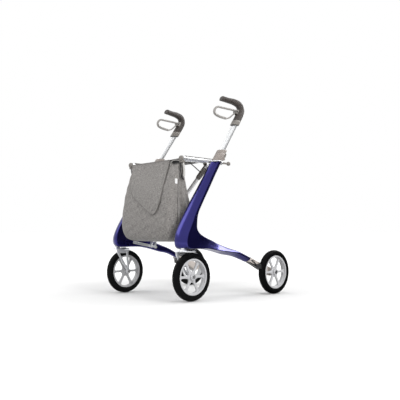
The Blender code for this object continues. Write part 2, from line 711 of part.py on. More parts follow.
def axle(name, inner_x, hub, steel):
    """A bolt through the fork or casing and the hub, with a flat head at each end."""
    outer_x = hub.x + RIM_HALF_WIDTH + SIDE_PLAY
    start = inner_x - TOUCH
    profile = ((-AXLE_CAP, AXLE_CAP_RADIUS - 0.001), (-0.0005, AXLE_CAP_RADIUS), (0, AXLE_CAP_RADIUS),
               (0, AXLE_RADIUS), (outer_x - start, AXLE_RADIUS), (outer_x - start, AXLE_CAP_RADIUS),
               (outer_x - start + AXLE_CAP, AXLE_CAP_RADIUS - 0.001))
    pair(name, turned(Vector((start, hub.y, hub.z)), Vector((1, 0, 0)), profile), steel,
         origin=Vector((start, hub.y, hub.z)))


# Rear brake

def casing_outline():
    """The casing from the side: square to the arm's end, widening to a round end about the hub."""
    end = Vector((0, ARM_END[0], ARM_END[1]))
    hub = Vector((0, REAR_Y, WHEEL_RADIUS))
    along, up = arm_end_ways()
    half = ARM_END_DEPTH / 2 - 0.0005
    start = end + along * TOUCH
    points = [start - up * half, start + up * half]
    for k in range(9):
        t = math.pi / 2 - math.pi * k / 8
        points.append(hub + up * CASING_HUB_RADIUS * math.sin(t) + along * CASING_HUB_RADIUS * math.cos(t))
    return points


def brake_casings(beige, steel):
    inset = 0.0015
    hub = Vector((TRACK_REAR / 2, REAR_Y, WHEEL_RADIUS))
    outline = casing_outline()
    centre = sum(outline, Vector()) / len(outline)
    shrunk = [p + (centre - p).normalized() * inset for p in outline]
    rings = [[p + Vector((x, 0, 0)) for p in ring] for x, ring in (
        (CASING_INNER_X, shrunk), (CASING_INNER_X + inset, outline), (CASING_OUTER_X - inset, outline),
        (CASING_OUTER_X, shrunk))]
    boss_end = hub.x - RIM_HALF_WIDTH - SIDE_PLAY
    boss = turned(Vector((CASING_OUTER_X - 0.003, hub.y, hub.z)), Vector((1, 0, 0)),
                  ((0, CASING_BOSS_RADIUS + 0.002), (0.003, CASING_BOSS_RADIUS + 0.002),
                   (boss_end - CASING_OUTER_X + 0.003, CASING_BOSS_RADIUS - 0.002)))
    axle_hole = rod(Vector((CASING_INNER_X - 0.01, hub.y, hub.z)), hub, AXLE_RADIUS + TOUCH)
    pivot = Vector((CASING_OUTER_X, BRAKE_PIVOT_Y, BRAKE_PIVOT_Z))
    pin = rod(pivot - Vector((0.002, 0, 0)), pivot + Vector((2 * ROCKER_THICKNESS - 0.001, 0, 0)),
              BRAKE_PIN_RADIUS, count=ROUND_SMALL)
    pair("brake_casing", loft(rings), beige, joined=(boss, pin), cuts=(axle_hole,))
    axle("rear_axle", CASING_INNER_X, hub, steel)


def shoe_face_y():
    """Where the shoe's face starts: its gap in front of the tyre, at the shoe's middle height."""
    drop = BRAKE_PIVOT_Z - SHOE_DROP - WHEEL_RADIUS
    return REAR_Y - math.sqrt(WHEEL_RADIUS ** 2 - drop ** 2) - SHOE_GAP


def brake_parts(steel, black):
    """The rocker that the cable pulls, and on the same pin the shoe arm with its block before the tyre."""
    pivot = Vector((CASING_OUTER_X + TOUCH, BRAKE_PIVOT_Y, BRAKE_PIVOT_Z))
    away = Vector((1, 0, 0))
    ring = rod(pivot, pivot + away * (ROCKER_THICKNESS - 0.0015), ROCKER_RADIUS)
    tail = swept([pivot + away * 0.00125, pivot + Vector((0.00125, -0.014, 0.003))],
                 [(0.00125, 0.0035), (0.00125, 0.0025)], 12)
    hole = rod(pivot - away * 0.01, pivot + away * 0.02, BRAKE_PIN_RADIUS + RUNNING, count=ROUND_SMALL)
    pair("brake_rocker", ring, steel, origin=pivot, joined=(tail,), cuts=(hole,))
    plane_x = pivot.x + ROCKER_THICKNESS - 0.0015 + TOUCH
    hub_ring = rod(Vector((plane_x, pivot.y, pivot.z)), Vector((plane_x + 0.003, pivot.y, pivot.z)),
                   ROCKER_RADIUS - 0.0005)
    face = shoe_face_y()
    middle_z = BRAKE_PIVOT_Z - SHOE_DROP
    low_x, high_x = TRACK_REAR / 2 - 0.0125, TRACK_REAR / 2 + 0.0115
    pad_ring = [Vector((low_x, face - SHOE_THICKNESS, middle_z - SHOE_HEIGHT / 2)),
                Vector((low_x, face, middle_z - SHOE_HEIGHT / 2)),
                Vector((low_x, face - 0.0015, middle_z + SHOE_HEIGHT / 2)),
                Vector((low_x, face - SHOE_THICKNESS - 0.002, middle_z + SHOE_HEIGHT / 2))]
    pad = extruded(rounded(pad_ring, (0.003,) * 4, 3), Vector((high_x - low_x, 0, 0)))
    arm_end = Vector((plane_x + 0.0015, face - SHOE_THICKNESS / 2, middle_z + 0.002))
    arm = swept([Vector((plane_x + 0.0015, pivot.y, pivot.z)), arm_end], [(0.0015, 0.0035)] * 2, 12)
    foot = block((plane_x, face - SHOE_THICKNESS + 0.001, middle_z - 0.006),
                 (low_x + 0.002, face - 0.0015, middle_z + 0.006))
    pair("brake_shoe", pad, black, origin=Vector((plane_x, pivot.y, pivot.z)), joined=(hub_ring, arm, foot),
         cuts=(hole,))


# Folding cross

def towards(side):
    return 1 if side == "left" else -1


def fold_brackets(silver, steel):
    """A plate on each arm's inner face, with two lugs and the pin of the bar that starts there."""
    for side in ("left", "right"):
        s = towards(side)
        bar_y = BAR_Y[side]
        outer = FRAME_INNER_X - TOUCH
        (y0, z0), (y1, z1) = BRACKET_FRONT, BRACKET_REAR
        h = BRACKET_HEIGHT / 2
        corners = [Vector((s * outer, y, z))
                   for y, z in ((y0, z0 - h), (y1, z1 - h), (y1, z1 + h), (y0, z0 + h))]
        plate = extruded(rounded(corners, (0.006,) * 4, 4), Vector((-s * BRACKET_THICKNESS, 0, 0)))
        item = add("fold_bracket_" + side, plate, silver)
        slope = (z1 - z0) / (y1 - y0)
        for lug_y in (bar_y - EYE_HALF_WIDTH - SIDE_PLAY - LUG, bar_y + EYE_HALF_WIDTH + SIDE_PLAY):
            base_z = z0 + slope * (lug_y - y0)
            outline = [Vector((s * x, lug_y, z)) for x, z in (
                (outer - 0.0005, base_z - h + 0.001), (outer - 0.0005, PIVOT_LOW_Z + 0.006),
                (PIVOT_X + 0.004, PIVOT_LOW_Z + EYE_RADIUS), (PIVOT_X - 0.005, PIVOT_LOW_Z + 0.0075),
                (PIVOT_X - 0.0088, PIVOT_LOW_Z), (PIVOT_X - 0.005, PIVOT_LOW_Z - 0.0085),
                (PIVOT_X + 0.004, base_z - h))]
            join(item, extruded(outline, Vector((0, LUG, 0))))
        pivot = Vector((s * PIVOT_X, bar_y, PIVOT_LOW_Z))
        reach = Vector((0, EYE_HALF_WIDTH + SIDE_PLAY + LUG, 0))
        cut(item, rod(pivot - 2 * reach, pivot + 2 * reach, PIN_RADIUS + TOUCH, count=ROUND_SMALL))
        head = BOLT_HEAD * 0.7
        pin = turned(pivot - reach, Vector((0, 1, 0)), (
            (-TOUCH - head, BOLT_HEAD_RADIUS * 0.8), (-TOUCH, BOLT_HEAD_RADIUS * 0.85), (-TOUCH, PIN_RADIUS),
            (2 * reach.y + TOUCH, PIN_RADIUS), (2 * reach.y + TOUCH, BOLT_HEAD_RADIUS * 0.85),
            (2 * reach.y + TOUCH + head, BOLT_HEAD_RADIUS * 0.8)), ROUND_SMALL)
        add("fold_pin_" + side, pin, steel, pivot)


def bar_ends(side):
    """The low and high pivots of the bar that starts on that side's bracket and ends at the other rail."""
    s, y = towards(side), BAR_Y[side]
    return Vector((s * PIVOT_X, y, PIVOT_LOW_Z)), Vector((-s * PIVOT_X, y, PIVOT_HIGH_Z))


def cross_bars(silver, cover, steel):
    across = Vector((0, 1, 0))
    for side in ("left", "right"):
        low, high = bar_ends(side)
        along = (high - low).normalized()
        item = add("cross_bar_" + side, rod(low, high, BAR_RADIUS), silver, low)
        for end in (low, high):
            join(item, rod(end - across * EYE_HALF_WIDTH, end + across * EYE_HALF_WIDTH, EYE_RADIUS))
        for hole in (low, high, (low + high) / 2):
            cut(item, rod(hole - across * BEYOND, hole + across * BEYOND, PIN_RADIUS + RUNNING,
                          count=ROUND_SMALL))
        start = EYE_RADIUS + SLEEVE_START
        inner, outer = BAR_RADIUS + TOUCH, BAR_RADIUS + TOUCH + SLEEVE_WALL
        profile = ((0, inner), (SLEEVE_LENGTH, inner), (SLEEVE_LENGTH, outer - 0.0006),
                   (SLEEVE_LENGTH - 0.001, outer), (0.001, outer), (0, outer - 0.0006))
        add("bar_sleeve_" + side, turned_ring(high - along * start, -along, profile, ROUND), cover, high)
    front_bar, back_bar = sorted(BAR_Y.values())
    front = front_bar - BAR_RADIUS - SIDE_PLAY
    back = back_bar + BAR_RADIUS + SIDE_PLAY
    between = (front_bar + BAR_RADIUS + SIDE_PLAY, back_bar - BAR_RADIUS - SIDE_PLAY)
    centre = Vector((0, 0, (PIVOT_LOW_Z + PIVOT_HIGH_Z) / 2))
    bolt = turned(centre, across, (
        (front - BOLT_HEAD, BOLT_HEAD_RADIUS - 0.001), (front, BOLT_HEAD_RADIUS), (front, PIN_RADIUS),
        (between[0], PIN_RADIUS), (between[0], BOLT_HEAD_RADIUS), (between[1], BOLT_HEAD_RADIUS),
        (between[1], PIN_RADIUS), (back, PIN_RADIUS), (back, BOLT_HEAD_RADIUS),
        (back + BOLT_HEAD, BOLT_HEAD_RADIUS - 0.001)), ROUND_SMALL)
    add("cross_bolt", bolt, steel, centre + across * BAR_Y["left"])


def seat_rails(silver, connector, dark):
    """Each rail carries the far end of the other side's bar, between two ears under the tube."""
    across = Vector((0, 1, 0))
    for side in ("left", "right"):
        s = towards(side)
        other = "right" if side == "left" else "left"
        bar_y = BAR_Y[other]
        line = Vector((s * RAIL_X, 0, RAIL_Z))
        pivot = Vector((s * PIVOT_X, bar_y, PIVOT_HIGH_Z))
        tube = rod(line + across * RAIL_FRONT_Y, line + across * RAIL_REAR_Y, RAIL_RADIUS)
        item = add("seat_rail_" + side, tube, silver, pivot)
        for ear_y in (bar_y - EYE_HALF_WIDTH - SIDE_PLAY - LUG, bar_y + EYE_HALF_WIDTH + SIDE_PLAY):
            outline = [Vector((s * x, ear_y, z)) for x, z in (
                (RAIL_X - 0.008, RAIL_Z - 0.004), (RAIL_X - 0.0085, PIVOT_HIGH_Z + 0.004),
                (PIVOT_X - 0.007, PIVOT_HIGH_Z - 0.0075), (PIVOT_X + 0.002, PIVOT_HIGH_Z - 0.0092),
                (PIVOT_X + 0.0088, PIVOT_HIGH_Z - 0.002), (PIVOT_X + 0.0072, RAIL_Z - 0.010),
                (RAIL_X + 0.008, RAIL_Z - 0.004))]
            join(item, extruded(outline, Vector((0, LUG, 0))))
        room = across * (EYE_HALF_WIDTH + SIDE_PLAY)
        reach = room + across * LUG
        join(item, rod(pivot - reach, pivot + reach, PIN_RADIUS, count=ROUND_SMALL))
        cut(item, rod(pivot - room, pivot + room, EYE_RADIUS + 0.0006))
        join(item, rod(pivot - reach * 0.95, pivot + reach * 0.95, PIN_RADIUS, count=ROUND_SMALL))
        cut(item, rod(line + across * (RAIL_FRONT_Y - 0.01), line + across * (RAIL_REAR_Y + 0.01),
                      RAIL_RADIUS - RAIL_WALL, count=ROUND_SMALL))

        front = RAIL_FRONT_Y - TOUCH
        nose = turned(line, across, (
            (front - CONNECTOR_LENGTH, CONNECTOR_RADIUS - 0.003),
            (front - CONNECTOR_LENGTH + 0.003, CONNECTOR_RADIUS),
            (front - 0.004, CONNECTOR_RADIUS), (front, CONNECTOR_RADIUS - 0.001)))
        body = block((s * RAIL_X - 0.009, front - CONNECTOR_LENGTH + 0.004, RAIL_Z - CONNECTOR_DROP),
                     (s * RAIL_X + 0.009, front - 0.004, RAIL_Z))
        join(add("rail_connector_" + side, nose, connector, line + across * front), body)

        back = RAIL_REAR_Y + TOUCH
        knob = turned(line, across, (
            (back, RAIL_RADIUS - 0.0005), (back + 0.003, RAIL_RADIUS - 0.001),
            (back + 0.003, KNOB_STEM_RADIUS), (KNOB_Y - 0.010, KNOB_STEM_RADIUS),
            (KNOB_Y - 0.008, KNOB_RADIUS - 0.001), (KNOB_Y - 0.006, KNOB_RADIUS),
            (KNOB_Y + 0.004, KNOB_RADIUS), (KNOB_Y + 0.007, KNOB_RADIUS - 0.0025)))
        add("rail_knob_" + side, knob, dark, line + across * back)


def rail_saddles(black):
    """A rest on the post's inner face, hollowed to the rail that lies in it when the frame is open."""
    y0, y1 = -0.0655, -0.0535
    top = RAIL_Z - RAIL_RADIUS * 0.35
    inner = 0.1988 - TOUCH
    outline = [Vector((x, y0, z)) for x, z in (
        (inner, POST_TOP_Z - 0.028), (inner, top + 0.001), (inner - 0.004, top + 0.001),
        (RAIL_X - 0.004, RAIL_Z - RAIL_RADIUS - 0.001), (RAIL_X - 0.004, RAIL_Z - RAIL_RADIUS - 0.006))]
    hollow = rod(Vector((RAIL_X, y0 - BEYOND, RAIL_Z)), Vector((RAIL_X, y1 + BEYOND, RAIL_Z)),
                 RAIL_RADIUS + 2 * TOUCH)
    pair("rail_saddle", extruded(outline, Vector((0, y1 - y0, 0))), black, cuts=(hollow,))


# Soft parts

def seat(fabric):
    """The sling between the rails, level across, with its edges against the tubes."""
    half = RAIL_X - RAIL_RADIUS - TOUCH
    z = RAIL_Z + SEAT_RISE
    ring = [Vector((x, SEAT_FRONT_Y, z + d)) for x, d in ((-half, 0), (half, 0), (half, -SEAT_THICKNESS),
                                                         (-half, -SEAT_THICKNESS))]
    add("seat_sling", extruded(ring, Vector((0, SEAT_REAR_Y - SEAT_FRONT_Y, 0))), fabric,
        Vector((RAIL_X, 0, RAIL_Z)))


def bag_ring(row, inset):
    z, front, back, share = row
    centre = Vector((BAG_SHIFT, (front + back) / 2, z))
    depth = back - front - 2 * inset
    return rounded_rectangle(centre, 2 * (BAG_HALF_WIDTH * share - inset), depth, BAG_CORNER, 5)


def bag(fabric):
    outer = loft([bag_ring(row, 0) for row in BAG_ROWS])
    inside = [bag_ring(row, BAG_WALL) for row in BAG_ROWS[:-1]]
    lid = [p + Vector((0, 0, 0.02)) for p in inside[0]]
    item = add("bag", outer, fabric, Vector((RAIL_X, 0, RAIL_Z)))
    cut(item, loft([lid, *inside]))


def bag_value(z, column):
    """One column of the bag's rows at height z."""
    rising = BAG_ROWS[::-1]
    return float(np.interp(z, [row[0] for row in rising], [row[column] for row in rising]))


def bag_front(z):
    """The y of the bag's front at height z."""
    return bag_value(z, 1)


def bag_half_width(z):
    """Half the bag's width at height z."""
    return BAG_HALF_WIDTH * bag_value(z, 3)


def bag_flap(fabric):
    """The cover flap: over the mouth and down the front to a rounded point right of the middle."""
    top = BAG_TOP_Z + 0.004
    corners = [Vector((x, 0, z)) for x, z in ((-0.158, top), (-0.128, 0.462), (0.045, 0.345), (0.105, 0.400),
                                             (0.108, top))]
    outline = rounded(corners, (0.001, 0.045, 0.055, 0.040, 0.001), 6)
    gap = 0.0012
    work = bmesh.new()
    verts = [work.verts.new(p) for p in outline]
    face = work.faces.new(verts)
    bmesh.ops.triangulate(work, faces=[face])
    for level in np.arange(0.36, top, 0.03):
        bmesh.ops.bisect_plane(work, geom=work.verts[:] + work.edges[:] + work.faces[:],
                               plane_co=(0, 0, level), plane_no=(0, 0, 1))
    mesh = bpy.data.meshes.new("flap")
    front = [v for v in work.verts]
    for v in front:
        v.co.y = bag_front(v.co.z) - gap
    made = bmesh.ops.extrude_face_region(work, geom=work.faces[:])
    for v in (g for g in made["geom"] if isinstance(g, bmesh.types.BMVert)):
        v.co.y -= FLAP_THICKNESS
    bmesh.ops.recalc_face_normals(work, faces=work.faces)
    work.to_mesh(mesh)
    work.free()
    hinge = Vector((0, bag_front(top), top))
    add("bag_flap", outward(mesh), fabric, hinge)


def bag_hooks(black):
    """A flat hook that hangs from each rail's connector, its toe against the bag's upper corner."""
    front = RAIL_FRONT_Y - TOUCH - CONNECTOR_LENGTH / 2
    top = RAIL_Z - CONNECTOR_DROP - TOUCH
    x = RAIL_X - HOOK_WIDTH / 2
    low = top - HOOK_LENGTH
    blade = block((x, front - HOOK_THICKNESS / 2, low), (x + HOOK_WIDTH, front + HOOK_THICKNESS / 2, top))
    for side in ("left", "right"):
        widest = max(bag_half_width(low), bag_half_width(low + HOOK_TOE))
        start = widest + towards(side) * BAG_SHIFT + TOUCH
        toe = block((start, front - HOOK_THICKNESS / 2, low),
                    (x + HOOK_WIDTH / 4, front + HOOK_THICKNESS / 2 + 0.008, low + HOOK_TOE))
        if side == "left":
            join(add("bag_hook_left", blade, black), toe)
        else:
            join(add("bag_hook_right", mirrored(blade), black), mirrored(toe))


def tension_cord(black):
    points = smooth_path(CORD_POINTS, 4)
    curve = bpy.data.curves.new("tension_cord", "CURVE")
    curve.dimensions = "3D"
    curve.bevel_depth = CORD_RADIUS
    curve.bevel_resolution = 2
    curve.use_fill_caps = True
    spline = curve.splines.new("POLY")
    spline.points.add(len(points) - 1)
    for spot, point in zip(spline.points, points):
        spot.co = (*point, 1)
    curve.materials.append(black)
    bpy.context.scene.collection.objects.link(bpy.data.objects.new("tension_cord", curve))


def main():
    clear_scene()
    blue = material("carbon_blue", (0.035, 0.03, 0.30), 0.18)
    silver = material("anodised_silver", (0.80, 0.81, 0.82), 0.30, 1.0)
    steel = material("steel", (0.55, 0.55, 0.56), 0.35, 1.0)
    beige = material("beige_plastic", (0.42, 0.38, 0.32), 0.50)
    taupe = material("taupe_plastic", (0.27, 0.24, 0.20), 0.50)
    rubber = material("dark_rubber", (0.045, 0.038, 0.034), 0.60)
    grey = material("lever_grey", (0.18, 0.17, 0.16), 0.40)
    black = material("black_plastic", (0.012, 0.012, 0.013), 0.50)
    rim_grey = material("rim_grey", (0.62, 0.63, 0.64), 0.40)
    tyre_black = material("tyre_black", (0.018, 0.018, 0.018), 0.80)
    melange = material("grey_melange", (0.24, 0.23, 0.22), 0.90)
    sling = material("sling_brown", (0.06, 0.052, 0.047), 0.85)

    side_frames(blue)
    post_collars(beige)
    clamp_levers(taupe)
    handle_tubes(silver)
    grips(rubber)
    grip_collars(taupe)
    brake_levers(grey)
    wheels(rim_grey, tyre_black)
    caster_forks(silver, steel)
    brake_casings(beige, steel)
    brake_parts(steel, black)
    fold_brackets(silver, steel)
    cross_bars(silver, taupe, steel)
    seat_rails(silver, taupe, black)
    rail_saddles(black)
    seat(sling)
    bag(melange)
    bag_flap(melange)
    bag_hooks(black)
    tension_cord(black)


main()
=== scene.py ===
"""The looks of a four-wheel rollator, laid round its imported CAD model.

Metres, +Z up. The user walks towards -Y and the user's left is +X. Left-hand pieces are worked out at +X and
their right-hand twins are the same surfaces mirrored in the plane x = 0.
"""
import json
import math

import bpy
import numpy as np
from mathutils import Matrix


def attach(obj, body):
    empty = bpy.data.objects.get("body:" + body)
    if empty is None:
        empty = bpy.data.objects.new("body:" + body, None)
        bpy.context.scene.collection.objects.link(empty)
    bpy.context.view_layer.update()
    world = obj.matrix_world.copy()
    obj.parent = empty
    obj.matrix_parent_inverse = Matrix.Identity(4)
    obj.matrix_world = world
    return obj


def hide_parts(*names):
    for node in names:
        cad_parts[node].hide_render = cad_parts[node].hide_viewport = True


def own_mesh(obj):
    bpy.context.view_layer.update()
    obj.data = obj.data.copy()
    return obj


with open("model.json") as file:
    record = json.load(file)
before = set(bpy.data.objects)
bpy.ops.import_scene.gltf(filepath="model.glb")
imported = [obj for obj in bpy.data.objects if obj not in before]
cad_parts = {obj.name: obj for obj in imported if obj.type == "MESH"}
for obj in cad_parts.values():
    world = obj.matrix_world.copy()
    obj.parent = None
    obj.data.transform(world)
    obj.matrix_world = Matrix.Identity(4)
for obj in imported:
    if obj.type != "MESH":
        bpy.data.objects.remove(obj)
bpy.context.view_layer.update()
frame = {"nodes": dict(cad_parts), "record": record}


# Camera: below seat height, in front and to the user's left, with a 50 mm lens. It stands and aims where the
# wheels and handles lie over those in the photograph.
CAMERA_SPOT = (1.9263, -1.7792, 0.2933)
CAMERA_RISE = 3.07
CAMERA_TURN = 46.755


def placed(name, data):
    """A new object of this data, put into the scene."""
    item = bpy.data.objects.new(name, data)
    bpy.context.scene.collection.objects.link(item)
    return item


camera_data = bpy.data.cameras.new("camera")
camera_data.lens = 50
camera_data.sensor_width = 36
camera = placed("camera", camera_data)
camera.location = CAMERA_SPOT
camera.rotation_euler = (math.radians(90 + CAMERA_RISE), 0, math.radians(CAMERA_TURN))
bpy.context.scene.camera = camera
bpy.context.scene.view_settings.view_transform = "Standard"


# Studio: a wide pale floor in a pale room that is bright overhead and in front, and dim to the user's rear
# left. Five soft lamps light it, one of them for gloss alone, and a dark card behind and on the floor shows
# only in the object's gloss.
def node(tree, kind, settings=(), inputs=()):
    """A node with its settings and inputs; an input that is a socket is linked, any other is a value."""
    made = tree.nodes.new("ShaderNode" + kind)
    for key, value in dict(settings).items():
        setattr(made, key, value)
    for key, value in dict(inputs).items():
        if isinstance(value, bpy.types.NodeSocket):
            tree.links.new(value, made.inputs[key])
        else:
            made.inputs[key].default_value = value
    return made


def sum_of(tree, operation, first, second=0.0):
    """The result of one sum on one or two values; a sum on one value ignores the second."""
    return node(tree, "Math", {"operation": operation}, {0: first, 1: second}).outputs[0]


def clear_rays(tree):
    """One for the rays that show the room plainly: the camera's, and those of gloss and glass."""
    seen = node(tree, "LightPath")
    shown = sum_of(tree, "MAXIMUM", seen.outputs["Is Camera Ray"], seen.outputs["Is Transmission Ray"])
    return sum_of(tree, "MAXIMUM", shown, seen.outputs["Is Glossy Ray"])


def matt_paint(name, level, gloss):
    """A dull grey material for the studio, with its tree and its shader."""
    paint = bpy.data.materials.new(name)
    paint.use_nodes = True
    shader = paint.node_tree.nodes["Principled BSDF"]
    shader.inputs["Base Color"].default_value = (level, level, level, 1)
    shader.inputs["Roughness"].default_value = 0.9
    shader.inputs["Specular IOR Level"].default_value = gloss
    return paint, paint.node_tree, shader


def stage_floor():
    reach = 40.0
    mesh = bpy.data.meshes.new("floor")
    corners = [(-reach, -reach, 0), (reach, -reach, 0), (reach, reach, 0), (-reach, reach, 0)]
    mesh.from_pydata(corners, [], [(0, 1, 2, 3)])
    floor = placed("floor", mesh)
    paint, tree, matt = matt_paint("studio_floor", 0.62, 0.1)
    matt.inputs["Emission Color"].default_value = (1, 1, 1, 1)
    place = node(tree, "TexCoord").outputs["Object"]
    far = node(tree, "VectorMath", {"operation": "LENGTH"}, {0: place}).outputs["Value"]
    lift = node(tree, "MapRange", {"interpolation_type": "SMOOTHSTEP"}, {
        "Value": far, "From Min": 0.5, "From Max": 1.6, "To Min": 0.02, "To Max": 0.60}).outputs[0]
    lift = sum_of(tree, "MULTIPLY", clear_rays(tree), lift)
    tree.links.new(lift, matt.inputs["Emission Strength"])
    mesh.materials.append(paint)


def studio_light():
    world = bpy.data.worlds.new("pale_room")
    bpy.context.scene.world = world
    world.use_nodes = True
    tree = world.node_tree
    ground = tree.nodes["Background"]
    way = node(tree, "TexCoord").outputs["Generated"]
    bright_side = node(tree, "VectorMath", {"operation": "DOT_PRODUCT"}, {0: way, 1: (-0.62, -0.55, 0.56)})
    level = node(tree, "MapRange", {"interpolation_type": "SMOOTHSTEP"},
                 {"Value": bright_side.outputs["Value"], "From Min": -0.75, "From Max": 0.35,
                  "To Min": 0.50, "To Max": 0.80})
    tree.links.new(sum_of(tree, "MAXIMUM", level.outputs[0], clear_rays(tree)), ground.inputs["Strength"])
    ground.inputs["Color"].default_value = (1, 1, 1, 1)
    for name, spot, size, power, matt, shines in (
            ("front_lamp", (-1.2, -2.2, 2.6), 2.4, 50, True, True),
            ("top_lamp", (0.3, 0.4, 3.2), 2.0, 30, True, False),
            ("side_lamp", (2.7, -0.3, 1.4), 1.6, 72, True, False),
            ("back_lamp", (0.9, 2.0, 2.1), 1.2, 18, True, True),
            ("arm_lamp", (0.44, 2.05, 1.62), 1.0, 27, False, True)):
        lamp = bpy.data.lights.new(name, "AREA")
        lamp.size = size
        lamp.energy = power
        item = placed(name, lamp)
        item.location = spot
        aim = np.array((0, 0, 0.4)) - spot
        turn = math.atan2(aim[0], -aim[1]) + math.pi
        item.rotation_euler = (math.acos(-aim[2] / np.linalg.norm(aim)), 0, turn)
        item.visible_diffuse, item.visible_glossy = matt, shines


def stage_card():
    """A dark card stands behind to the user's left and runs out over the floor; only gloss shows it."""
    start, end, height = (2.60, 0.10), (-0.90, 2.45), 1.25
    mesh = bpy.data.meshes.new("dark_card")
    mesh.from_pydata([(*start, 0.003), (*end, 0.003), (*end, height), (*start, height), (0.22, 0.35, 0.003),
                      (0.34, -0.05, 0.003)], [], [(0, 1, 2, 3), (0, 1, 4, 5)])
    card = placed("dark_card", mesh)
    mesh.materials.append(matt_paint("studio_card", 0.02, 0.0)[0])
    card.visible_camera = False
    card.visible_diffuse = False
    card.visible_shadow = False


stage_floor()
stage_card()
studio_light()


# Side frames: one carbon moulding a side, from the post's top round the foot to the arm's end, under a thick
# blue clear coat. The post is bored for the handle tube.
POST_TOP = np.array((0.2168, -0.0727, 0.5900))
POST_SLOPE = np.array((-0.036, 0.690, 1.0))
POST_WAY = POST_SLOPE / np.linalg.norm(POST_SLOPE)
TUBE_HALF = np.array((0.0100, 0.0130))
TUBE_CLEARANCE = 0.0003
BORE_DEPTH = 0.243
FRAME_INNER = 0.2035


def post_line(z):
    """The post's line at height z: its top point, plus its slope times the rise."""
    return POST_TOP + np.multiply.outer(np.asarray(z, float) - POST_TOP[2], POST_SLOPE)


def through(knots, steps):
    """A smooth curve through the knots: between b and c, with a before and d after, the point at share t is
    half of 2b + (c-a)t + (2a-5b+4c-d)tt + (3b-a-3c+d)ttt."""
    knots = np.asarray(knots, float)
    padded = np.concatenate([knots[:1], knots, knots[-1:]])
    a, b, c, d = (padded[k:len(padded) - 3 + k, None] for k in range(4))
    t = (np.arange(steps) / steps)[:, None]
    found = 0.5 * (2 * b + (c - a) * t + (2 * a - 5 * b + 4 * c - d) * t ** 2
                   + (3 * b - a - 3 * c + d) * t ** 3)
    return np.concatenate([found.reshape(-1, knots.shape[1]), knots[-1:]])


def softened(corners, radii, steps=6, closed=True):
    """An outline with its corners rounded: each becomes the curve start(1-t)(1-t) + 2 corner t(1-t) + end
    tt, which starts a radius before the corner and ends a radius after it."""
    corners = np.asarray(corners, float)
    inner = corners if closed else corners[..., 1:-1, :]
    before = np.roll(corners, 1, -2) if closed else corners[..., :-2, :]
    after = np.roll(corners, -1, -2) if closed else corners[..., 2:, :]
    reach = np.broadcast_to(np.asarray(radii, float), inner.shape[:-1])[..., None]
    ends = []
    for way in (before - inner, after - inner):
        length = np.maximum(np.linalg.norm(way, axis=-1, keepdims=True), 1e-9)
        ends.append(inner + way * np.minimum(reach / length, 0.48))
    t = np.linspace(0, 1, steps)[:, None]
    start, middle, end = (p[..., None, :] for p in (ends[0], inner, ends[1]))
    curve = start * (1 - t) ** 2 + 2 * middle * t * (1 - t) + end * t ** 2
    curve = curve.reshape(*curve.shape[:-3], -1, corners.shape[-1])
    return curve if closed else np.concatenate([corners[..., :1, :], curve, corners[..., -1:, :]], -2)


def skin(grid, round_rows=False, round_columns=True):
    """A closed surface over a grid of points: each four neighbours make a face, a round direction joins its
    end to its start, and a row direction that isn't round is closed by a flat face at each end. Its pattern
    coordinates are the lengths along the columns and the rows, in metres."""
    grid = np.asarray(grid, float)
    rows, columns = grid.shape[:2]
    index = np.arange(rows * columns).reshape(rows, columns)
    row = np.arange(rows if round_rows else rows - 1)[:, None]
    column = np.arange(columns if round_columns else columns - 1)[None]
    corners = [(row, column), (row, column + 1), (row + 1, column + 1), (row + 1, column)]
    quads = np.stack([index[r % rows, c % columns] for r, c in corners], -1).reshape(-1, 4)
    across = np.linalg.norm(np.roll(grid, -1, 1) - grid, axis=2).mean(0)
    down = np.linalg.norm(np.roll(grid, -1, 0) - grid, axis=2).mean(1)
    u, v = np.concatenate([[0], np.cumsum(across)]), np.concatenate([[0], np.cumsum(down)])
    uv = np.stack([np.stack(np.broadcast_arrays(u[c], v[r]), -1) for r, c in corners], -2).reshape(-1, 4, 2)
    caps = [] if round_rows else [index[0][::-1], index[-1]]
    points = grid.reshape(-1, 3)
    a, b, c, d = (points[quads[:, k]] for k in range(4))
    volume = (np.cross(a, b) * c + np.cross(a, c) * d).sum()
    for cap in caps:
        p = points[cap]
        volume += (np.cross(p[0], p[1:-1]) * p[2:]).sum()
    if volume < 0:
        quads, uv, caps = quads[:, ::-1], uv[:, ::-1], [cap[::-1] for cap in caps]
    return points, quads, uv, caps


def mirrored(surface):
    points, quads, uv, caps = surface
    return points * (-1, 1, 1), quads[:, ::-1], uv[:, ::-1], [cap[::-1] for cap in caps]


def piece(name, surfaces, finish, body, stands_for=(), sharp=40):
    """One object of closed surfaces, which rides on a body and stands for the CAD nodes that it replaces."""
    points, faces, uvs, shift = [], [], [], 0
    for spots, quads, uv, caps in surfaces:
        points.append(spots)
        faces += (quads + shift).tolist() + [(cap + shift).tolist() for cap in caps]
        uvs.append(uv.reshape(-1, 2))
        uvs += [spots[cap][:, :2] for cap in caps]
        shift += len(spots)
    mesh = bpy.data.meshes.new(name)
    mesh.from_pydata(np.concatenate(points).tolist(), [], faces)
    mesh.uv_layers.new(name="metres").data.foreach_set("uv", np.concatenate(uvs).astype(np.float32).ravel())
    mesh.shade_smooth()
    mesh.set_sharp_from_angle(angle=math.radians(sharp))
    mesh.materials.append(finish)
    item = placed(name, mesh)
    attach(item, body)
    if stands_for:
        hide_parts(*stands_for)
    return item


def pair(name, surfaces, finish, body, stands_for=(), sharp=40):
    """The left-hand piece and its mirrored twin; the body and the nodes get each side's ending."""
    left = piece(name + "_left", surfaces, finish, body + "_left", [n + "_left" for n in stands_for], sharp)
    right = piece(name + "_right", [mirrored(s) for s in surfaces], finish, body + "_right",
                  [n + "_right" for n in stands_for], sharp)
    return left, right


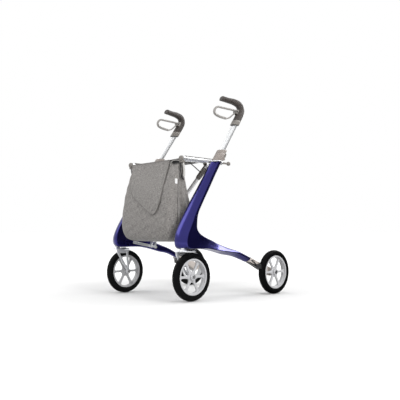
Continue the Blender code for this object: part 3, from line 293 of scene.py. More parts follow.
def effect(name, inputs, outputs):
    """An empty shader group with named sockets: (name, kind, value) going in, (name, kind) coming out."""
    tree = bpy.data.node_groups.new(name, "ShaderNodeTree")
    kinds = {"value": "NodeSocketFloat", "colour": "NodeSocketColor", "vector": "NodeSocketVector"}
    for label, kind, value in inputs:
        tree.interface.new_socket(label, in_out="INPUT", socket_type=kinds[kind]).default_value = value
    for label, kind in outputs:
        tree.interface.new_socket(label, in_out="OUTPUT", socket_type=kinds[kind])
    return tree, tree.nodes.new("NodeGroupInput"), tree.nodes.new("NodeGroupOutput")


def scaled_colour(tree, colour, factor):
    return node(tree, "VectorMath", {"operation": "SCALE"}, {0: colour, "Scale": factor}).outputs[0]


def ranged(tree, value, low, high):
    """The value, from 0 to 1, spread from low to high."""
    return node(tree, "MapRange", {}, {"Value": value, "To Min": low, "To Max": high}).outputs[0]


def noise(tree, vector, scale, detail=2.0):
    return node(tree, "TexNoise", {}, {"Vector": vector, "Scale": scale, "Detail": detail}).outputs[0]


def finish_of(slot, roughness, metallic=0.0, **sockets):
    """A material with its principled shader, whose constant sockets are set here."""
    made = bpy.data.materials.new(slot)
    made.use_nodes = True
    shader = made.node_tree.nodes["Principled BSDF"]
    shader.inputs["Roughness"].default_value = roughness
    shader.inputs["Metallic"].default_value = metallic
    for key, value in sockets.items():
        shader.inputs[key.replace("_", " ").title().replace("Ior", "IOR")].default_value = value
    return made, made.node_tree, shader


def bump(tree, shader, height, strength, distance):
    made = node(tree, "Bump", {}, {"Height": height, "Strength": strength, "Distance": distance})
    tree.links.new(made.outputs[0], shader.inputs["Normal"])


def carbon_blue():
    """Blue twill under a clear coat: warp and weft bundles 2 mm wide catch the light by turns."""
    made, tree, shader = finish_of("carbon_blue", 0.28, 0.92, coat_weight=0.40, coat_roughness=0.12)
    pattern = node(tree, "UVMap", {"uv_map": "metres"}).outputs[0]
    turn = node(tree, "Mapping", {}, {"Vector": pattern, "Rotation": (0, 0, math.radians(45)),
                                      "Scale": (500, 500, 1)}).outputs[0]
    bundles = node(tree, "TexChecker", {}, {"Vector": turn, "Scale": 1.0}).outputs["Fac"]
    place = node(tree, "TexCoord").outputs["Object"]
    drift = noise(tree, place, 14.0, 3.0)
    level = sum_of(tree, "MULTIPLY", ranged(tree, bundles, 0.90, 1.06), ranged(tree, drift, 0.86, 1.14))
    tree.links.new(scaled_colour(tree, (0.0190, 0.0165, 0.140), level), shader.inputs["Base Color"])
    tree.links.new(ranged(tree, drift, 0.24, 0.32), shader.inputs["Roughness"])
    return made


def frame_rows():
    """Rows of outer edge y and z, inner edge y and z, inner and outer x, where the crease lies between the
    edges, how sharp it is, and how far the outer face leans in. The outer edge runs down the front and along
    underneath."""
    y, z = -0.2805, 0.2135
    end_y, end_z, half = 0.0925, 0.1600, 0.01175
    rows = []
    for height, front, back, inner, outer, crease in (
            (0.590, 0.0205, 0.0205, 0.1988, 0.2348, 0.34),
            (0.530, 0.0225, 0.0205, 0.2005, 0.2385, 0.40),
            (0.470, 0.0240, 0.0212, 0.2025, 0.2440, 0.46),
            (0.410, 0.0256, 0.0205, FRAME_INNER, 0.2500, 0.50),
            (0.360, 0.0235, 0.0240, FRAME_INNER, 0.2545, 0.50)):
        line_y = post_line(height)[1]
        rows.append((line_y - front, height, line_y + back, height, inner, outer, crease, 0.010, 0.08))
    return rows + [
        (y - 0.0105, z + 0.0850, y + 0.0630, z + 0.1060, FRAME_INNER, 0.2590, 0.42, 0.0070, 0.08),
        (y - 0.0240, z + 0.0420, y + 0.0620, z + 0.0840, FRAME_INNER, 0.2620, 0.28, 0.0035, 0.08),
        (y - 0.0190, z + 0.0100, y + 0.0740, z + 0.0680, FRAME_INNER, 0.2630, 0.17, 0.0030, 0.10),
        (y + 0.0060, z, y + 0.0960, z + 0.0555, FRAME_INNER, 0.2630, 0.09, 0.0030, 0.14),
        (y + 0.0640, z, y + 0.1290, z + 0.0440, FRAME_INNER, 0.2620, 0.05, 0.0040, 0.24),
        (-0.1560, 0.2115, -0.1200, 0.2490, FRAME_INNER, 0.2610, 0.06, 0.0050, 0.36),
        (-0.1010, 0.2010, -0.0780, 0.2330, FRAME_INNER, 0.2605, 0.12, 0.0050, 0.42),
        (-0.0420, 0.1860, -0.0270, 0.2160, 0.2065, 0.2605, 0.42, 0.0050, 0.36),
        (end_y - 0.0740, end_z + 0.0150, end_y - 0.0650, end_z + 0.0395, 0.2160, 0.2620, 0.60, 0.0045, 0.18),
        (end_y - 0.392 * half, end_z - 0.92 * half, end_y + 0.392 * half, end_z + 0.92 * half,
         0.2290, 0.2640, 0.62, 0.0035, 0.08)]


def bored(outline, bore):
    """An oval bore with as many points as the outline, evenly spread and turned to lie near its own."""
    turn = np.unwrap(np.arctan2(outline[..., 1] / bore[1], outline[..., 0] / bore[0]))
    count = turn.shape[-1]
    even = np.sign(turn[..., -1:] - turn[..., :1]) * 2 * np.pi / count * np.arange(count)
    turn = even + (turn - even).mean(-1, keepdims=True)
    return np.stack([bore[0] * np.cos(turn), bore[1] * np.sin(turn)], -1)


def frame_skin():
    """Each row's five corners are inner front, front, crease, outer back and inner back, rounded into a
    ring. Two rings of the tube's bore come before the first, and a smaller ring after the last breaks the
    arm's edge."""
    o_y, o_z, i_y, i_z, inner, outer, crease, edge, lean = through(frame_rows(), 12).T
    width = outer - inner
    spots = ((inner, o_y, o_z), (inner + 0.42 * width, o_y, o_z),
             (outer, o_y + crease * (i_y - o_y), o_z + crease * (i_z - o_z)),
             (outer - lean * width, i_y, i_z), (inner, i_y, i_z))
    corners = np.stack([np.stack(spot, -1) for spot in spots], 1)
    radii = np.stack([np.full_like(edge, 0.007), np.full_like(edge, 0.014), edge, np.full_like(edge, 0.010),
                      np.full_like(edge, 0.008)], 1)
    rings = softened(corners, radii, 10)
    for _ in range(2):
        rings = (np.roll(rings, 1, 1) + 2 * rings + np.roll(rings, -1, 1)) / 4
    top = rings[0]
    oval = np.pad(bored(top[:, :2] - POST_TOP[:2], TUBE_HALF * (1, 1.22) + TUBE_CLEARANCE), ((0, 0), (0, 1)))
    inside = [oval + post_line(POST_TOP[2] - BORE_DEPTH), oval + POST_TOP]
    middle = rings[-1].mean(0)
    lip = top + (POST_TOP - top) * 0.04
    last = rings[-1] + (middle - rings[-1]) * 0.05
    return skin(np.concatenate([np.array(inside), [lip], rings, [last]]))


blue = carbon_blue()
pair("side_frame", [frame_skin()], blue, "frame", ["side_frame"], 46)


# Post collars: beige glass-filled nylon clamps that close each post's top round the handle tube. They stand
# on a bright pressed band, and a pin in two ears behind holds the clamping lever.
PINS = {joint["name"]: np.array(joint.get("pos_m", (0, 0, 0)))
        for joint in frame["record"]["behaviour"]["joints"]}
TUBE_LEVEL = TUBE_HALF * (1, 1.215) + TUBE_CLEARANCE
COLLAR_TOP = 0.645
COLLAR_CORNER = 0.011
CLAMP_HALF = 0.0085
EAR_WIDTH = 0.0040
SIDE_PLAY = 0.0005
X_WAY = np.array((1.0, 0, 0))
Y_WAY = np.array((0, 1.0, 0))
Z_WAY = np.array((0, 0, 1.0))


def moulded_grain():
    """Spark-eroded grain: fine noise makes the height and mottles the gloss; a slow one drifts the
    colour."""
    tree, given, out = effect("moulded_grain", (("Colour", "colour", (0.5, 0.5, 0.5, 1)),
                                                ("Grain", "value", 2200.0), ("Drift", "value", 0.08),
                                                ("Roughness", "value", 0.5)),
                              (("Colour", "colour"), ("Roughness", "value"), ("Height", "value")))
    place = node(tree, "TexCoord").outputs["Object"]
    grain = node(tree, "TexNoise", {}, {"Vector": place, "Scale": given.outputs["Grain"], "Detail": 2.0})
    slow = noise(tree, place, 60.0, 4.0)
    swing = sum_of(tree, "MULTIPLY", sum_of(tree, "SUBTRACT", slow, 0.5), given.outputs["Drift"])
    speck = sum_of(tree, "MULTIPLY", sum_of(tree, "SUBTRACT", grain.outputs[0], 0.5), given.outputs["Drift"])
    level = sum_of(tree, "ADD", 1.0, sum_of(tree, "ADD", sum_of(tree, "MULTIPLY", swing, 2.0), speck))
    tree.links.new(scaled_colour(tree, given.outputs["Colour"], level), out.inputs["Colour"])
    tree.links.new(sum_of(tree, "ADD", given.outputs["Roughness"], sum_of(tree, "MULTIPLY", swing, 1.5)),
                   out.inputs["Roughness"])
    tree.links.new(grain.outputs[0], out.inputs["Height"])
    return tree


GRAIN = moulded_grain()


def grained(slot, colour, roughness, grain=2200.0, drift=0.10, relief=0.00005, **sockets):
    """A moulded finish: the grain group's colour, gloss and height under the material's own shader."""
    made, tree, shader = finish_of(slot, roughness, **sockets)
    mould = node(tree, "Group", {"node_tree": GRAIN}, {"Colour": (*colour, 1), "Grain": grain,
                                                       "Drift": drift, "Roughness": roughness})
    tree.links.new(mould.outputs["Colour"], shader.inputs["Base Color"])
    tree.links.new(mould.outputs["Roughness"], shader.inputs["Roughness"])
    bump(tree, shader, mould.outputs["Height"], 0.5, relief)
    return made


def drawn_streaks():
    """Marks of drawing and polishing: noise stretched by the two pitches along the surface's own lengths."""
    tree, given, out = effect("drawn_streaks", (("Across", "value", 1400.0), ("Along", "value", 9.0),
                                                ("Depth", "value", 0.10)),
                              (("Level", "value"), ("Height", "value")))
    pattern = node(tree, "UVMap", {"uv_map": "metres"}).outputs[0]
    pitch = node(tree, "CombineXYZ", {}, {0: given.outputs["Across"], 1: given.outputs["Along"], 2: 1.0})
    spread = node(tree, "VectorMath", {"operation": "MULTIPLY"}, {0: pattern, 1: pitch.outputs[0]}).outputs[0]
    streak = noise(tree, spread, 1.0, 3.0)
    swing = sum_of(tree, "MULTIPLY", sum_of(tree, "SUBTRACT", streak, 0.5), given.outputs["Depth"])
    tree.links.new(sum_of(tree, "ADD", 1.0, sum_of(tree, "MULTIPLY", swing, 2.0)), out.inputs["Level"])
    tree.links.new(streak, out.inputs["Height"])
    return tree


STREAKS = drawn_streaks()


def metal(slot, colour, roughness, across=1400.0, along=9.0, depth=0.10, metallic=1.0):
    """Drawn or turned metal: the streaks change its level and its gloss."""
    made, tree, shader = finish_of(slot, roughness, metallic)
    marks = node(tree, "Group", {"node_tree": STREAKS}, {"Across": across, "Along": along, "Depth": depth})
    tree.links.new(scaled_colour(tree, colour, marks.outputs["Level"]), shader.inputs["Base Color"])
    tree.links.new(ranged(tree, marks.outputs["Height"], 0.7 * roughness, 1.3 * roughness),
                   shader.inputs["Roughness"])
    bump(tree, shader, marks.outputs["Height"], 0.3, 0.00002)
    return made


beige = grained("beige_plastic", (0.190, 0.166, 0.151), 0.48)
taupe = grained("taupe_plastic", (0.150, 0.139, 0.127), 0.46)
silver = metal("anodised_silver", (0.74, 0.75, 0.76), 0.34, depth=0.06, metallic=0.75)


def level_collar(heights, widths, depths, corner):
    """Level rings round the post's line: rounded rectangles up the outside, the tube's oval down the
    bore."""
    half = np.stack([widths, depths], -1)[:, None] / 2
    rings = softened(half * ((-1, -1), (1, -1), (1, 1), (-1, 1)), corner, 9)
    line = post_line(heights)[:, None]
    flat = ((0, 0), (0, 0), (0, 1))
    outer, inner = (line + np.pad(r, flat) for r in (rings, bored(rings, TUBE_LEVEL)))
    return skin(np.concatenate([outer, inner[::-1]]), round_rows=True)


def unit(way):
    way = np.asarray(way, float)
    return way / np.linalg.norm(way, axis=-1, keepdims=True)


def sideways(ways):
    """Two directions square to each way: the first is near +X, or near +Y if the way runs along X."""
    ways = unit(ways)
    side = X_WAY - ways * ways[..., :1]
    near = np.linalg.norm(side, axis=-1, keepdims=True) < 0.1
    side = unit(np.where(near, Y_WAY - ways * ways[..., 1:2], side))
    return side, np.cross(ways, side)


def carried(spine, outline):
    """A section carried along a path: spine + side u + up v, with side and up square to the path's way."""
    spine = np.asarray(spine, float)
    side, up = sideways(np.gradient(spine, axis=0))
    u, v = np.moveaxis(np.broadcast_to(outline, (len(spine), *np.shape(outline)[-2:])), -1, 0)[..., None]
    return spine[:, None] + side[:, None] * u + up[:, None] * v


def oval(half_side, half_up, count=32, power=2.0):
    """A ring of (half_side c, half_up s): c and s are cosine and sine, their sizes raised to 2 / power."""
    turn = np.linspace(0, 2 * np.pi, count, endpoint=False)
    c, s = (np.sign(f) * np.abs(f) ** (2 / power) for f in (np.cos(turn), np.sin(turn)))
    return np.stack([np.multiply.outer(half_side, c), np.multiply.outer(half_up, s)], -1)


def turned(centre, way, profile, steps=48):
    """A profile of (distance, radius) turned round an axis: centre + way d + (side cos + up sin) r."""
    way = unit(way)
    side, up = sideways(way)
    turn = np.linspace(0, 2 * np.pi, steps, endpoint=False)[:, None]
    d, r = np.asarray(profile, float).T[..., None, None]
    return centre + way * d + (side * np.cos(turn) + up * np.sin(turn)) * r


def lathed(centre, way, corners, rounding, steps=48, arc=6):
    """A solid turned from an open profile whose corners are rounded first."""
    return skin(turned(centre, way, softened(corners, rounding, arc, closed=False), steps))


def turned_ring(centre, way, profile, steps=48):
    """A closed profile turned round an axis, so that the middle stays open."""
    return skin(turned(centre, way, profile, steps), round_rows=True)


def two_rounds(start, start_radius, end, end_radius, steps=12):
    """The outline round two circles: an arc about each, joined by the straight lines that touch both."""
    start, end = np.asarray(start, float), np.asarray(end, float)
    way = end - start
    heading = np.arctan2(way[1], way[0])
    lean = np.arccos((start_radius - end_radius) / np.linalg.norm(way))
    back = heading + np.linspace(lean, 2 * np.pi - lean, steps)
    ahead = heading + np.linspace(-lean, lean, steps)
    return np.concatenate([centre + radius * np.stack([np.cos(t), np.sin(t)], -1)
                           for centre, radius, t in ((start, start_radius, back), (end, end_radius, ahead))])


def plate(outline, origin, across, up, thickness, bevel=0.0006):
    """A flat outline in the plane of across and up, given a thickness along their normal; a quarter circle
    of the bevel's size rounds each edge, drawing the outline in by bevel (1 - sin) at a depth of bevel (1 -
    cos)."""
    outline = np.asarray(outline, float)
    edge = np.roll(outline, -1, 0) - np.roll(outline, 1, 0)
    inward = unit(np.stack([-edge[:, 1], edge[:, 0]], -1))
    if (inward * (outline.mean(0) - outline)).sum() < 0:
        inward = -inward
    t = np.linspace(0, np.pi / 2, 4)
    draw, depth = bevel * (1 - np.sin(t)), bevel * (1 - np.cos(t))
    draw, depth = np.concatenate([draw, draw[::-1]]), np.concatenate([depth, thickness - depth[::-1]])
    flat = outline + inward * draw[:, None, None]
    normal = np.cross(across, up)
    return origin + flat[..., :1] * across + flat[..., 1:] * up + normal * depth[:, None, None]


def domed(rows, first=0.0, last=0.0, steps=6):
    """Rounds the ends of rows of (x, y, z, half side, half up): at share t of the dome's height the halves
    are drawn in to the square root of 1 - tt."""
    rows = np.asarray(rows, float)
    t = np.linspace(0, 1, steps + 1)[1:, None] * 0.985
    ends = []
    for end, before, height in ((rows[0], rows[1], first), (rows[-1], rows[-2], last)):
        way = unit(end[:3] - before[:3])
        ends.append(np.concatenate([end[:3] + way * height * t, end[3:] * np.sqrt(1 - t ** 2)], 1))
    return np.concatenate([ends[0][::-1]] * (first > 0) + [rows] + [ends[1]] * (last > 0))


def bar(rows, count=24, power=2.0):
    """A closed bar over rows of (x, y, z, half side, half up)."""
    rows = np.asarray(rows, float)
    return skin(carried(rows[:, :3], oval(rows[:, 3], rows[:, 4], count, power)))


def collar_size(z):
    """Width and depth of the collar at height z: both shrink evenly up to its top."""
    rise = (np.asarray(z) - POST_TOP[2]) / (COLLAR_TOP - POST_TOP[2])
    return 0.0365 - 0.002 * rise, 0.0420 - 0.003 * rise


def post_collars():
    z = np.array((0.5946, 0.5954, 0.600, 0.615, 0.6300, 0.6305, 0.6315, 0.6320, 0.6405, 0.6430, 0.6443,
                  0.6450))
    share = np.array((0.975, 1.0, 1.0, 1.0, 1.0, 0.975, 0.975, 1.0, 1.0, 0.985, 0.960, 0.925))
    wide, deep = collar_size(z)
    body = level_collar(z, wide * share, deep * share, COLLAR_CORNER)
    pin = PINS["clamp_left"]
    outline = two_rounds((-0.0135, 0), 0.0085, (0, 0), 0.0058)
    slot = CLAMP_HALF + SIDE_PLAY
    ears = [skin(plate(outline, pin + (x, 0, 0), Y_WAY, Z_WAY, EAR_WIDTH, 0.001))
            for x in (slot, -slot - EAR_WIDTH)]
    pair("post_collar", [body, *ears], beige, "frame", ["post_collar"])
    z = np.array((0.5903, 0.5908, 0.5938, 0.5943))
    share = np.array((1.0, 1.02, 1.02, 1.0))
    pair("collar_band", [level_collar(z, 0.0367 * share, 0.0421 * share, COLLAR_CORNER)], silver, "frame")


def clamp_levers():
    """A barrel on its pin, and a thumb blade that lies up along the tube."""
    pin = PINS["clamp_left"]
    width = CLAMP_HALF
    barrel = lathed(pin - X_WAY * width, X_WAY,
                    ((0, 0.0042), (0, 0.005), (2 * width, 0.005), (2 * width, 0.0042)), 0.0006)
    reach = width + SIDE_PLAY + EAR_WIDTH
    rivet = skin(turned(pin - X_WAY * reach, X_WAY, ((-0.0004, 0.0012), (0, 0.0018), (2 * reach, 0.0018),
                                                     (2 * reach + 0.0004, 0.0012)), 24))
    tip = POST_WAY * 0.030 + (0, 0.003, 0)
    rows = through([(*(pin + (0, 0.0008, 0.002)), width, 0.0034),
                    (*(pin + tip * 0.5 + (0, 0.0018, 0)), width, 0.0042),
                    (*(pin + tip), width * 0.86, 0.0030)], 8)
    pair("clamp_lever", [barrel, rivet, bar(domed(rows, last=0.002), 32, 4)], taupe, "clamp", ["clamp_lever"])


post_collars()
clamp_levers()


# Handle tubes: oval drawn aluminium, anodised silver. Each slides in its post's bore, through the collar
# that clamps it, and its upper end runs into the grip.
TUBE_IN_POST = 0.160
TUBE_IN_GRIP = 0.0277


def handle_tubes():
    low, high = -TUBE_IN_POST, (0.7910 - POST_TOP[2]) / POST_WAY[2] + TUBE_IN_GRIP
    wall, edge = 0.0018, 0.0005
    along = np.array((low, low + edge, 0, 0.12, high - edge, high, high, low))
    drawn = np.array((edge, 0, 0, 0, 0, edge, wall, wall))
    spine = POST_TOP + along[:, None] * POST_WAY
    side, up = sideways(POST_WAY)
    rings = oval(TUBE_HALF[0] - drawn, TUBE_HALF[1] - drawn, 48)
    pair("handle_tube", [skin(spine[:, None] + rings[..., :1] * side + rings[..., 1:] * up,
                              round_rows=True)], silver, "handle", ["handle_tube"])


handle_tubes()


# Grips: soft dark rubber moulded over the tubes' bent ends, cut at a slant in front, each above a taupe
# collar with a black seal under it and a fork that holds the brake lever.
rubber = grained("dark_rubber", (0.036, 0.030, 0.027), 0.62, 900.0, 0.5, 0.00012)
black = grained("black_plastic", (0.014, 0.014, 0.015), 0.42)
lever_grey = grained("lever_grey", (0.215, 0.205, 0.195), 0.38)
GRIP_START = 0.7910
LEVER_PIN = PINS["squeeze_left"]
LEVER_EYE = np.array((0.0050, 0.0085))
FORK_EAR = 0.0045
GRIP_COLLAR = np.array((0.0295, 0.0415))
GRIP_COLLAR_CORNER = 0.013


def grips():
    """Rings over the grip's stations; the first ring is dropped along the tube onto the collar's level top,
    and the last ones lean with their height, so that the tip is cut at a slant."""
    start = post_line(GRIP_START)
    stations = [(*(start + (0, 0.0048, 0.007)), 0.0155, 0.0172),
                (*(start + (-0.0006, 0.0110, 0.0160)), 0.0156, 0.0174),
                (*(start + (-0.0016, 0.0215, 0.0325)), 0.0155, 0.0172),
                (*(start + (-0.0035, 0.0300, 0.0520)), 0.0155, 0.0163),
                (*(start + (-0.0060, 0.0210, 0.0745)), 0.0155, 0.0155),
                (0.2010, 0.0580, 0.8762, 0.0152, 0.0135), (0.1970, 0.0180, 0.8795, 0.0145, 0.0112),
                (0.1935, -0.0160, 0.8830, 0.0140, 0.0112)]
    rows = domed(through(stations, 10), last=0.0035)
    rings = carried(rows[:, :3], oval(rows[:, 3], rows[:, 4], 40, 2.5))
    foot = rings[0] - POST_SLOPE * (rings[0, :, 2:] - GRIP_START)
    lean = np.clip((rows[:, 1] - 0.012) / (-0.0195 - 0.012), 0, 1)[:, None] * 0.30
    ahead = slice(len(rings) // 2, None)
    rings[ahead, :, 1] -= (lean * (rows[:, 2:3] - rings[..., 2]))[ahead]
    pair("grip", [skin(np.concatenate([foot[None], rings]))], rubber, "handle", ["grip"])


def grip_collars():
    z = np.array((0.7678, 0.7688, 0.7800, 0.7804, 0.7812, 0.7816, 0.7897, 0.7907))
    share = np.array((0.97, 1.0, 1.0, 0.975, 0.975, 1.0, 1.0, 0.97))
    pair("grip_collar", [level_collar(z, GRIP_COLLAR[0] * share, GRIP_COLLAR[1] * share,
                                      GRIP_COLLAR_CORNER)], taupe, "handle", ["grip_collar"])
    z = np.array((0.7655, 0.7662, 0.7676))
    share = np.array((0.93, 0.985, 0.985))
    pair("grip_seal", [level_collar(z, GRIP_COLLAR[0] * share, GRIP_COLLAR[1] * share, GRIP_COLLAR_CORNER)],
         black, "handle")
    outline = softened(((-0.0075, -0.0060), (-0.0040, -0.0105), (0.0160, -0.0150), (0.0240, 0.0090),
                        (0.0020, 0.0095), (-0.0075, 0.0050)), (0.003, 0.004, 0.004, 0.004, 0.006, 0.005))
    slot = LEVER_EYE[0] + SIDE_PLAY
    ears = [skin(plate(outline, LEVER_PIN + (x, 0, 0), Y_WAY, Z_WAY, FORK_EAR, 0.0012))
            for x in (slot, -slot - FORK_EAR)]
    pair("lever_fork", ears, taupe, "handle")


# Brake levers: each is one closed loop of grey nylon, thicker where the fingers press, with an eye that
# turns on the parking cam.
def brake_levers():
    loop = ((-0.0060, 0.0050, 0.0046, 0.0042), (-0.0250, 0.0055, 0.0048, 0.0043),
            (-0.0800, 0.0068, 0.0050, 0.0045), (-0.1110, 0.0068, 0.0052, 0.0046),
            (-0.1265, -0.0035, 0.0056, 0.0048), (-0.1310, -0.0170, 0.0060, 0.0050),
            (-0.1235, -0.0280, 0.0062, 0.0054), (-0.1000, -0.0350, 0.0062, 0.0056),
            (-0.0660, -0.0385, 0.0060, 0.0054), (-0.0560, -0.0378, 0.0042, 0.0036),
            (-0.0380, -0.0315, 0.0038, 0.0032), (-0.0190, -0.0170, 0.0038, 0.0032),
            (-0.0030, -0.0058, 0.0040, 0.0034))
    y, z, half_side, half_up = through(loop, 10).T
    rows = np.stack([LEVER_PIN[0] + 0.045 * y, LEVER_PIN[1] + y, LEVER_PIN[2] + z, half_side, half_up], -1)
    half, radius = LEVER_EYE
    profile = softened(((-half, 0.0048), (-half, radius), (half, radius), (half, 0.0048)),
                       (0.0001, 0.001, 0.001, 0.0001))
    eye = turned_ring(LEVER_PIN, X_WAY, profile)
    pair("brake_lever", [eye, bar(rows, 20, 2.4)], lever_grey, "lever", ["brake_lever"])
    reach = half + SIDE_PLAY + FORK_EAR
    cam = lathed(LEVER_PIN, X_WAY, ((-reach - 0.0006, 0.0030), (-reach, 0.0045), (reach, 0.0045),
                                    (reach + 0.0006, 0.0030)), 0.0004)
    pair("brake_cam", [cam], black, "cam", ["brake_cam"])


grips()
grip_collars()
brake_levers()


# Tyres: black rubber with a groove round the crown and one by each shoulder, sipes across the shoulders and
# a bead along each sidewall.
SPOKES = 6
WHEELS = {"front": PINS["front_spin_left"], "rear": PINS["rear_spin_left"]}
tread = grained("tyre_black", (0.0022, 0.0022, 0.0024), 0.60, 1600.0, 0.7, 0.00010, specular_ior_level=0.08)


def tyres():
    """The half section is mirrored in the wheel's plane; each groove lowers the radius by a bell curve of x,
    and the sipes lower two steps in every six."""
    steps = 192
    side = through(((0.0124, 0.0757), (0.0148, 0.0772), (0.0150, 0.0786), (0.0141, 0.0802),
                    (0.0152, 0.0825), (0.0145, 0.0880), (0.0135, 0.0925), (0.0112, 0.0952),
                    (0.0086, 0.0979), (0.0050, 0.0990), (0, 0.0998)), 8)
    ring = np.concatenate([side, side[-2::-1] * (-1, 1)])
    x, r = np.abs(ring[:, 0]), ring[:, 1]
    groove = 0.0008 * (np.exp(-(x / 0.0007) ** 2) + np.exp(-((x - 0.0066) / 0.0007) ** 2)) * (r > 0.096)
    sipe = 0.0007 * ((x > 0.0078) & (x < 0.0135) & (r > 0.091))
    depth = groove[:, None] + sipe[:, None] * (np.arange(steps) % 6 < 2)
    for end, centre in WHEELS.items():
        grid = turned(centre, X_WAY, ring, steps)
        out = unit((grid - centre) * (0, 1, 1))
        pair(end + "_tyre", [skin(grid - out * depth[..., None], round_rows=True)], tread, end + "_wheel",
             [end + "_tyre"], 50)


# Rims: pale grey nylon, each a deep barrel, a hub, and a thin recessed web of six spokes that flare at both
# ends.
rim_grey = grained("rim_grey", (0.38, 0.38, 0.39), 0.32, 1800.0, 0.05)


def rims():
    edge = np.array(((0.0125, 0.0754), (0.0125, 0.0684), (0.0117, 0.0679), (0.0106, 0.0692), (0.0052, 0.0688),
                     (0.0040, 0.0668)))
    barrel = softened(np.concatenate([edge, edge[::-1] * (-1, 1)]), 0.0008, 4)
    edge = np.array(((0.0125, 0.0063), (0.0125, 0.0136), (0.0114, 0.0145), (0.0052, 0.0152),
                     (0.0040, 0.0200)))
    hub = softened(np.concatenate([edge, edge[::-1] * (-1, 1)]), 0.0008, 4)
    r = np.linspace(0.0185, 0.0682, 22)
    flare_in, flare_out = np.clip((0.031 - r) / 0.0125, 0, 1), np.clip((r - 0.052) / 0.016, 0, 1)
    wide = 0.0050 + 0.0050 * flare_in ** 2 + 0.0085 * flare_out ** 2
    for end, centre in WHEELS.items():
        spokes = []
        for turn in np.arange(SPOKES) * math.pi / (SPOKES / 2):
            spine = centre + r[:, None] * (0, math.cos(turn), math.sin(turn))
            spokes.append(skin(carried(spine, oval(np.full_like(r, 0.0040), wide, 32, 6.0))))
        solid = [turned_ring(centre, X_WAY, ring, 128) for ring in (barrel, hub)]
        pair(end + "_rim", solid + spokes, rim_grey, end + "_wheel", [end + "_rim"])


tyres()
rims()


# Caster forks: bright forged forks. A band over the wheel curls down on its inner side, two prongs run from
# there to the axle's boss, a neck rises to the frame, and a dark cap closes the crown behind it.
def caster_forks():
    x, y = PINS["swivel_left"][:2]
    hub = WHEELS["front"]
    inner = 0.2080
    line = through(((0.2530, 0.2046, 0.004, 0.046), (0.2490, 0.2052, -0.007, 0.055),
                    (0.2400, 0.2053, -0.012, 0.0585), (0.2280, 0.2053, -0.015, 0.0585),
                    (0.2160, 0.2050, -0.017, 0.0575), (0.2108, 0.2028, -0.018, 0.056),
                    (0.2085, 0.1985, -0.018, 0.053), (inner, 0.1930, -0.017, 0.050),
                    (inner, 0.1850, -0.014, 0.047)), 6)
    way = unit(np.gradient(line[:, :2], axis=0))
    half = 0.0021
    edges = np.stack([np.stack([np.full(len(line), n), line[:, k]], -1)
                      for n, k in ((-half, 2), (half, 2), (half, 3), (-half, 3))], 1)
    ring = softened(edges, 0.0014, 5)
    band = np.stack([line[:, :1] - way[:, 1:] * ring[..., 0], y + ring[..., 1],
                     line[:, 1:2] + way[:, :1] * ring[..., 0]], -1)
    front = [(inner, y - 0.0115, 0.1920, 0.0032, 0.0062), (inner, y - 0.0080, 0.1850, 0.0032, 0.0058),
             (inner, y + 0.0180, 0.1430, 0.0032, 0.0052), (inner, hub[1] - 0.003, 0.1050, 0.0032, 0.0052)]
    rear = [(inner, y + 0.0410, 0.1920, 0.0032, 0.0060), (inner, y + 0.0415, 0.1820, 0.0032, 0.0055),
            (inner, y + 0.0435, 0.1480, 0.0032, 0.0050), (inner, hub[1], 0.1090, 0.0032, 0.0050)]
    prongs = [bar(domed(through(rows, 8), first=0.0015), 32, 4.0) for rows in (front, rear)]
    boss = lathed((0.2042, hub[1], hub[2]), X_WAY, ((0, 0.0060), (0, 0.0108), (0.0062, 0.0110),
                                                    (0.0144, 0.0092), (0.0144, 0.0060)), 0.0008)
    neck = lathed((x, y, 0.2068), Z_WAY, ((0, 0.0172), (0.0012, 0.0160), (0.0055, 0.0140),
                                          (0.0064, 0.0100), (0.0500, 0.0100)), 0.0008)
    pair("caster_fork", [skin(band), *prongs, boss, neck], bright, "caster", ["caster_fork"])
    cap = softened(((x - 0.0090, y + 0.0270), (x + 0.0090, y + 0.0270), (x + 0.0090, y + 0.0470),
                    (x - 0.0090, y + 0.0470)), 0.003)
    pair("fork_cap", [skin(plate(cap, (0, 0, 0.2066), X_WAY, Y_WAY, 0.0036, 0.0012))], black, "caster")


# Axles: steel bolts with domed heads, each with a socket for a key. The front ones run through the fork's
# boss and the hub, the rear ones through the casing and the hub.
def axles():
    for end, start, body in (("front", 0.2016, "caster"), ("rear", 0.2360, "frame")):
        centre = WHEELS[end]
        reach = centre[0] + 0.0130 - start
        cap = ((0, 0.0030), (0, 0.0072), (0.0022, 0.0085), (0.0026, 0.0060), (reach, 0.0060),
               (reach, 0.0085), (reach + 0.0014, 0.0084), (reach + 0.0024, 0.0066),
               (reach + 0.0025, 0.0036), (reach + 0.0008, 0.0032))
        bolt = lathed((start, *centre[1:]), X_WAY, cap, 0.0003, 48, 4)
        pair(end + "_axle", [bolt], steel, body, [end + "_axle"])


bright = metal("anodised_silver", (0.70, 0.71, 0.73), 0.18, 500.0, 6.0, 0.06, 0.55)
steel = metal("steel", (0.56, 0.56, 0.57), 0.28, 700.0, 20.0, 0.12)
caster_forks()
axles()


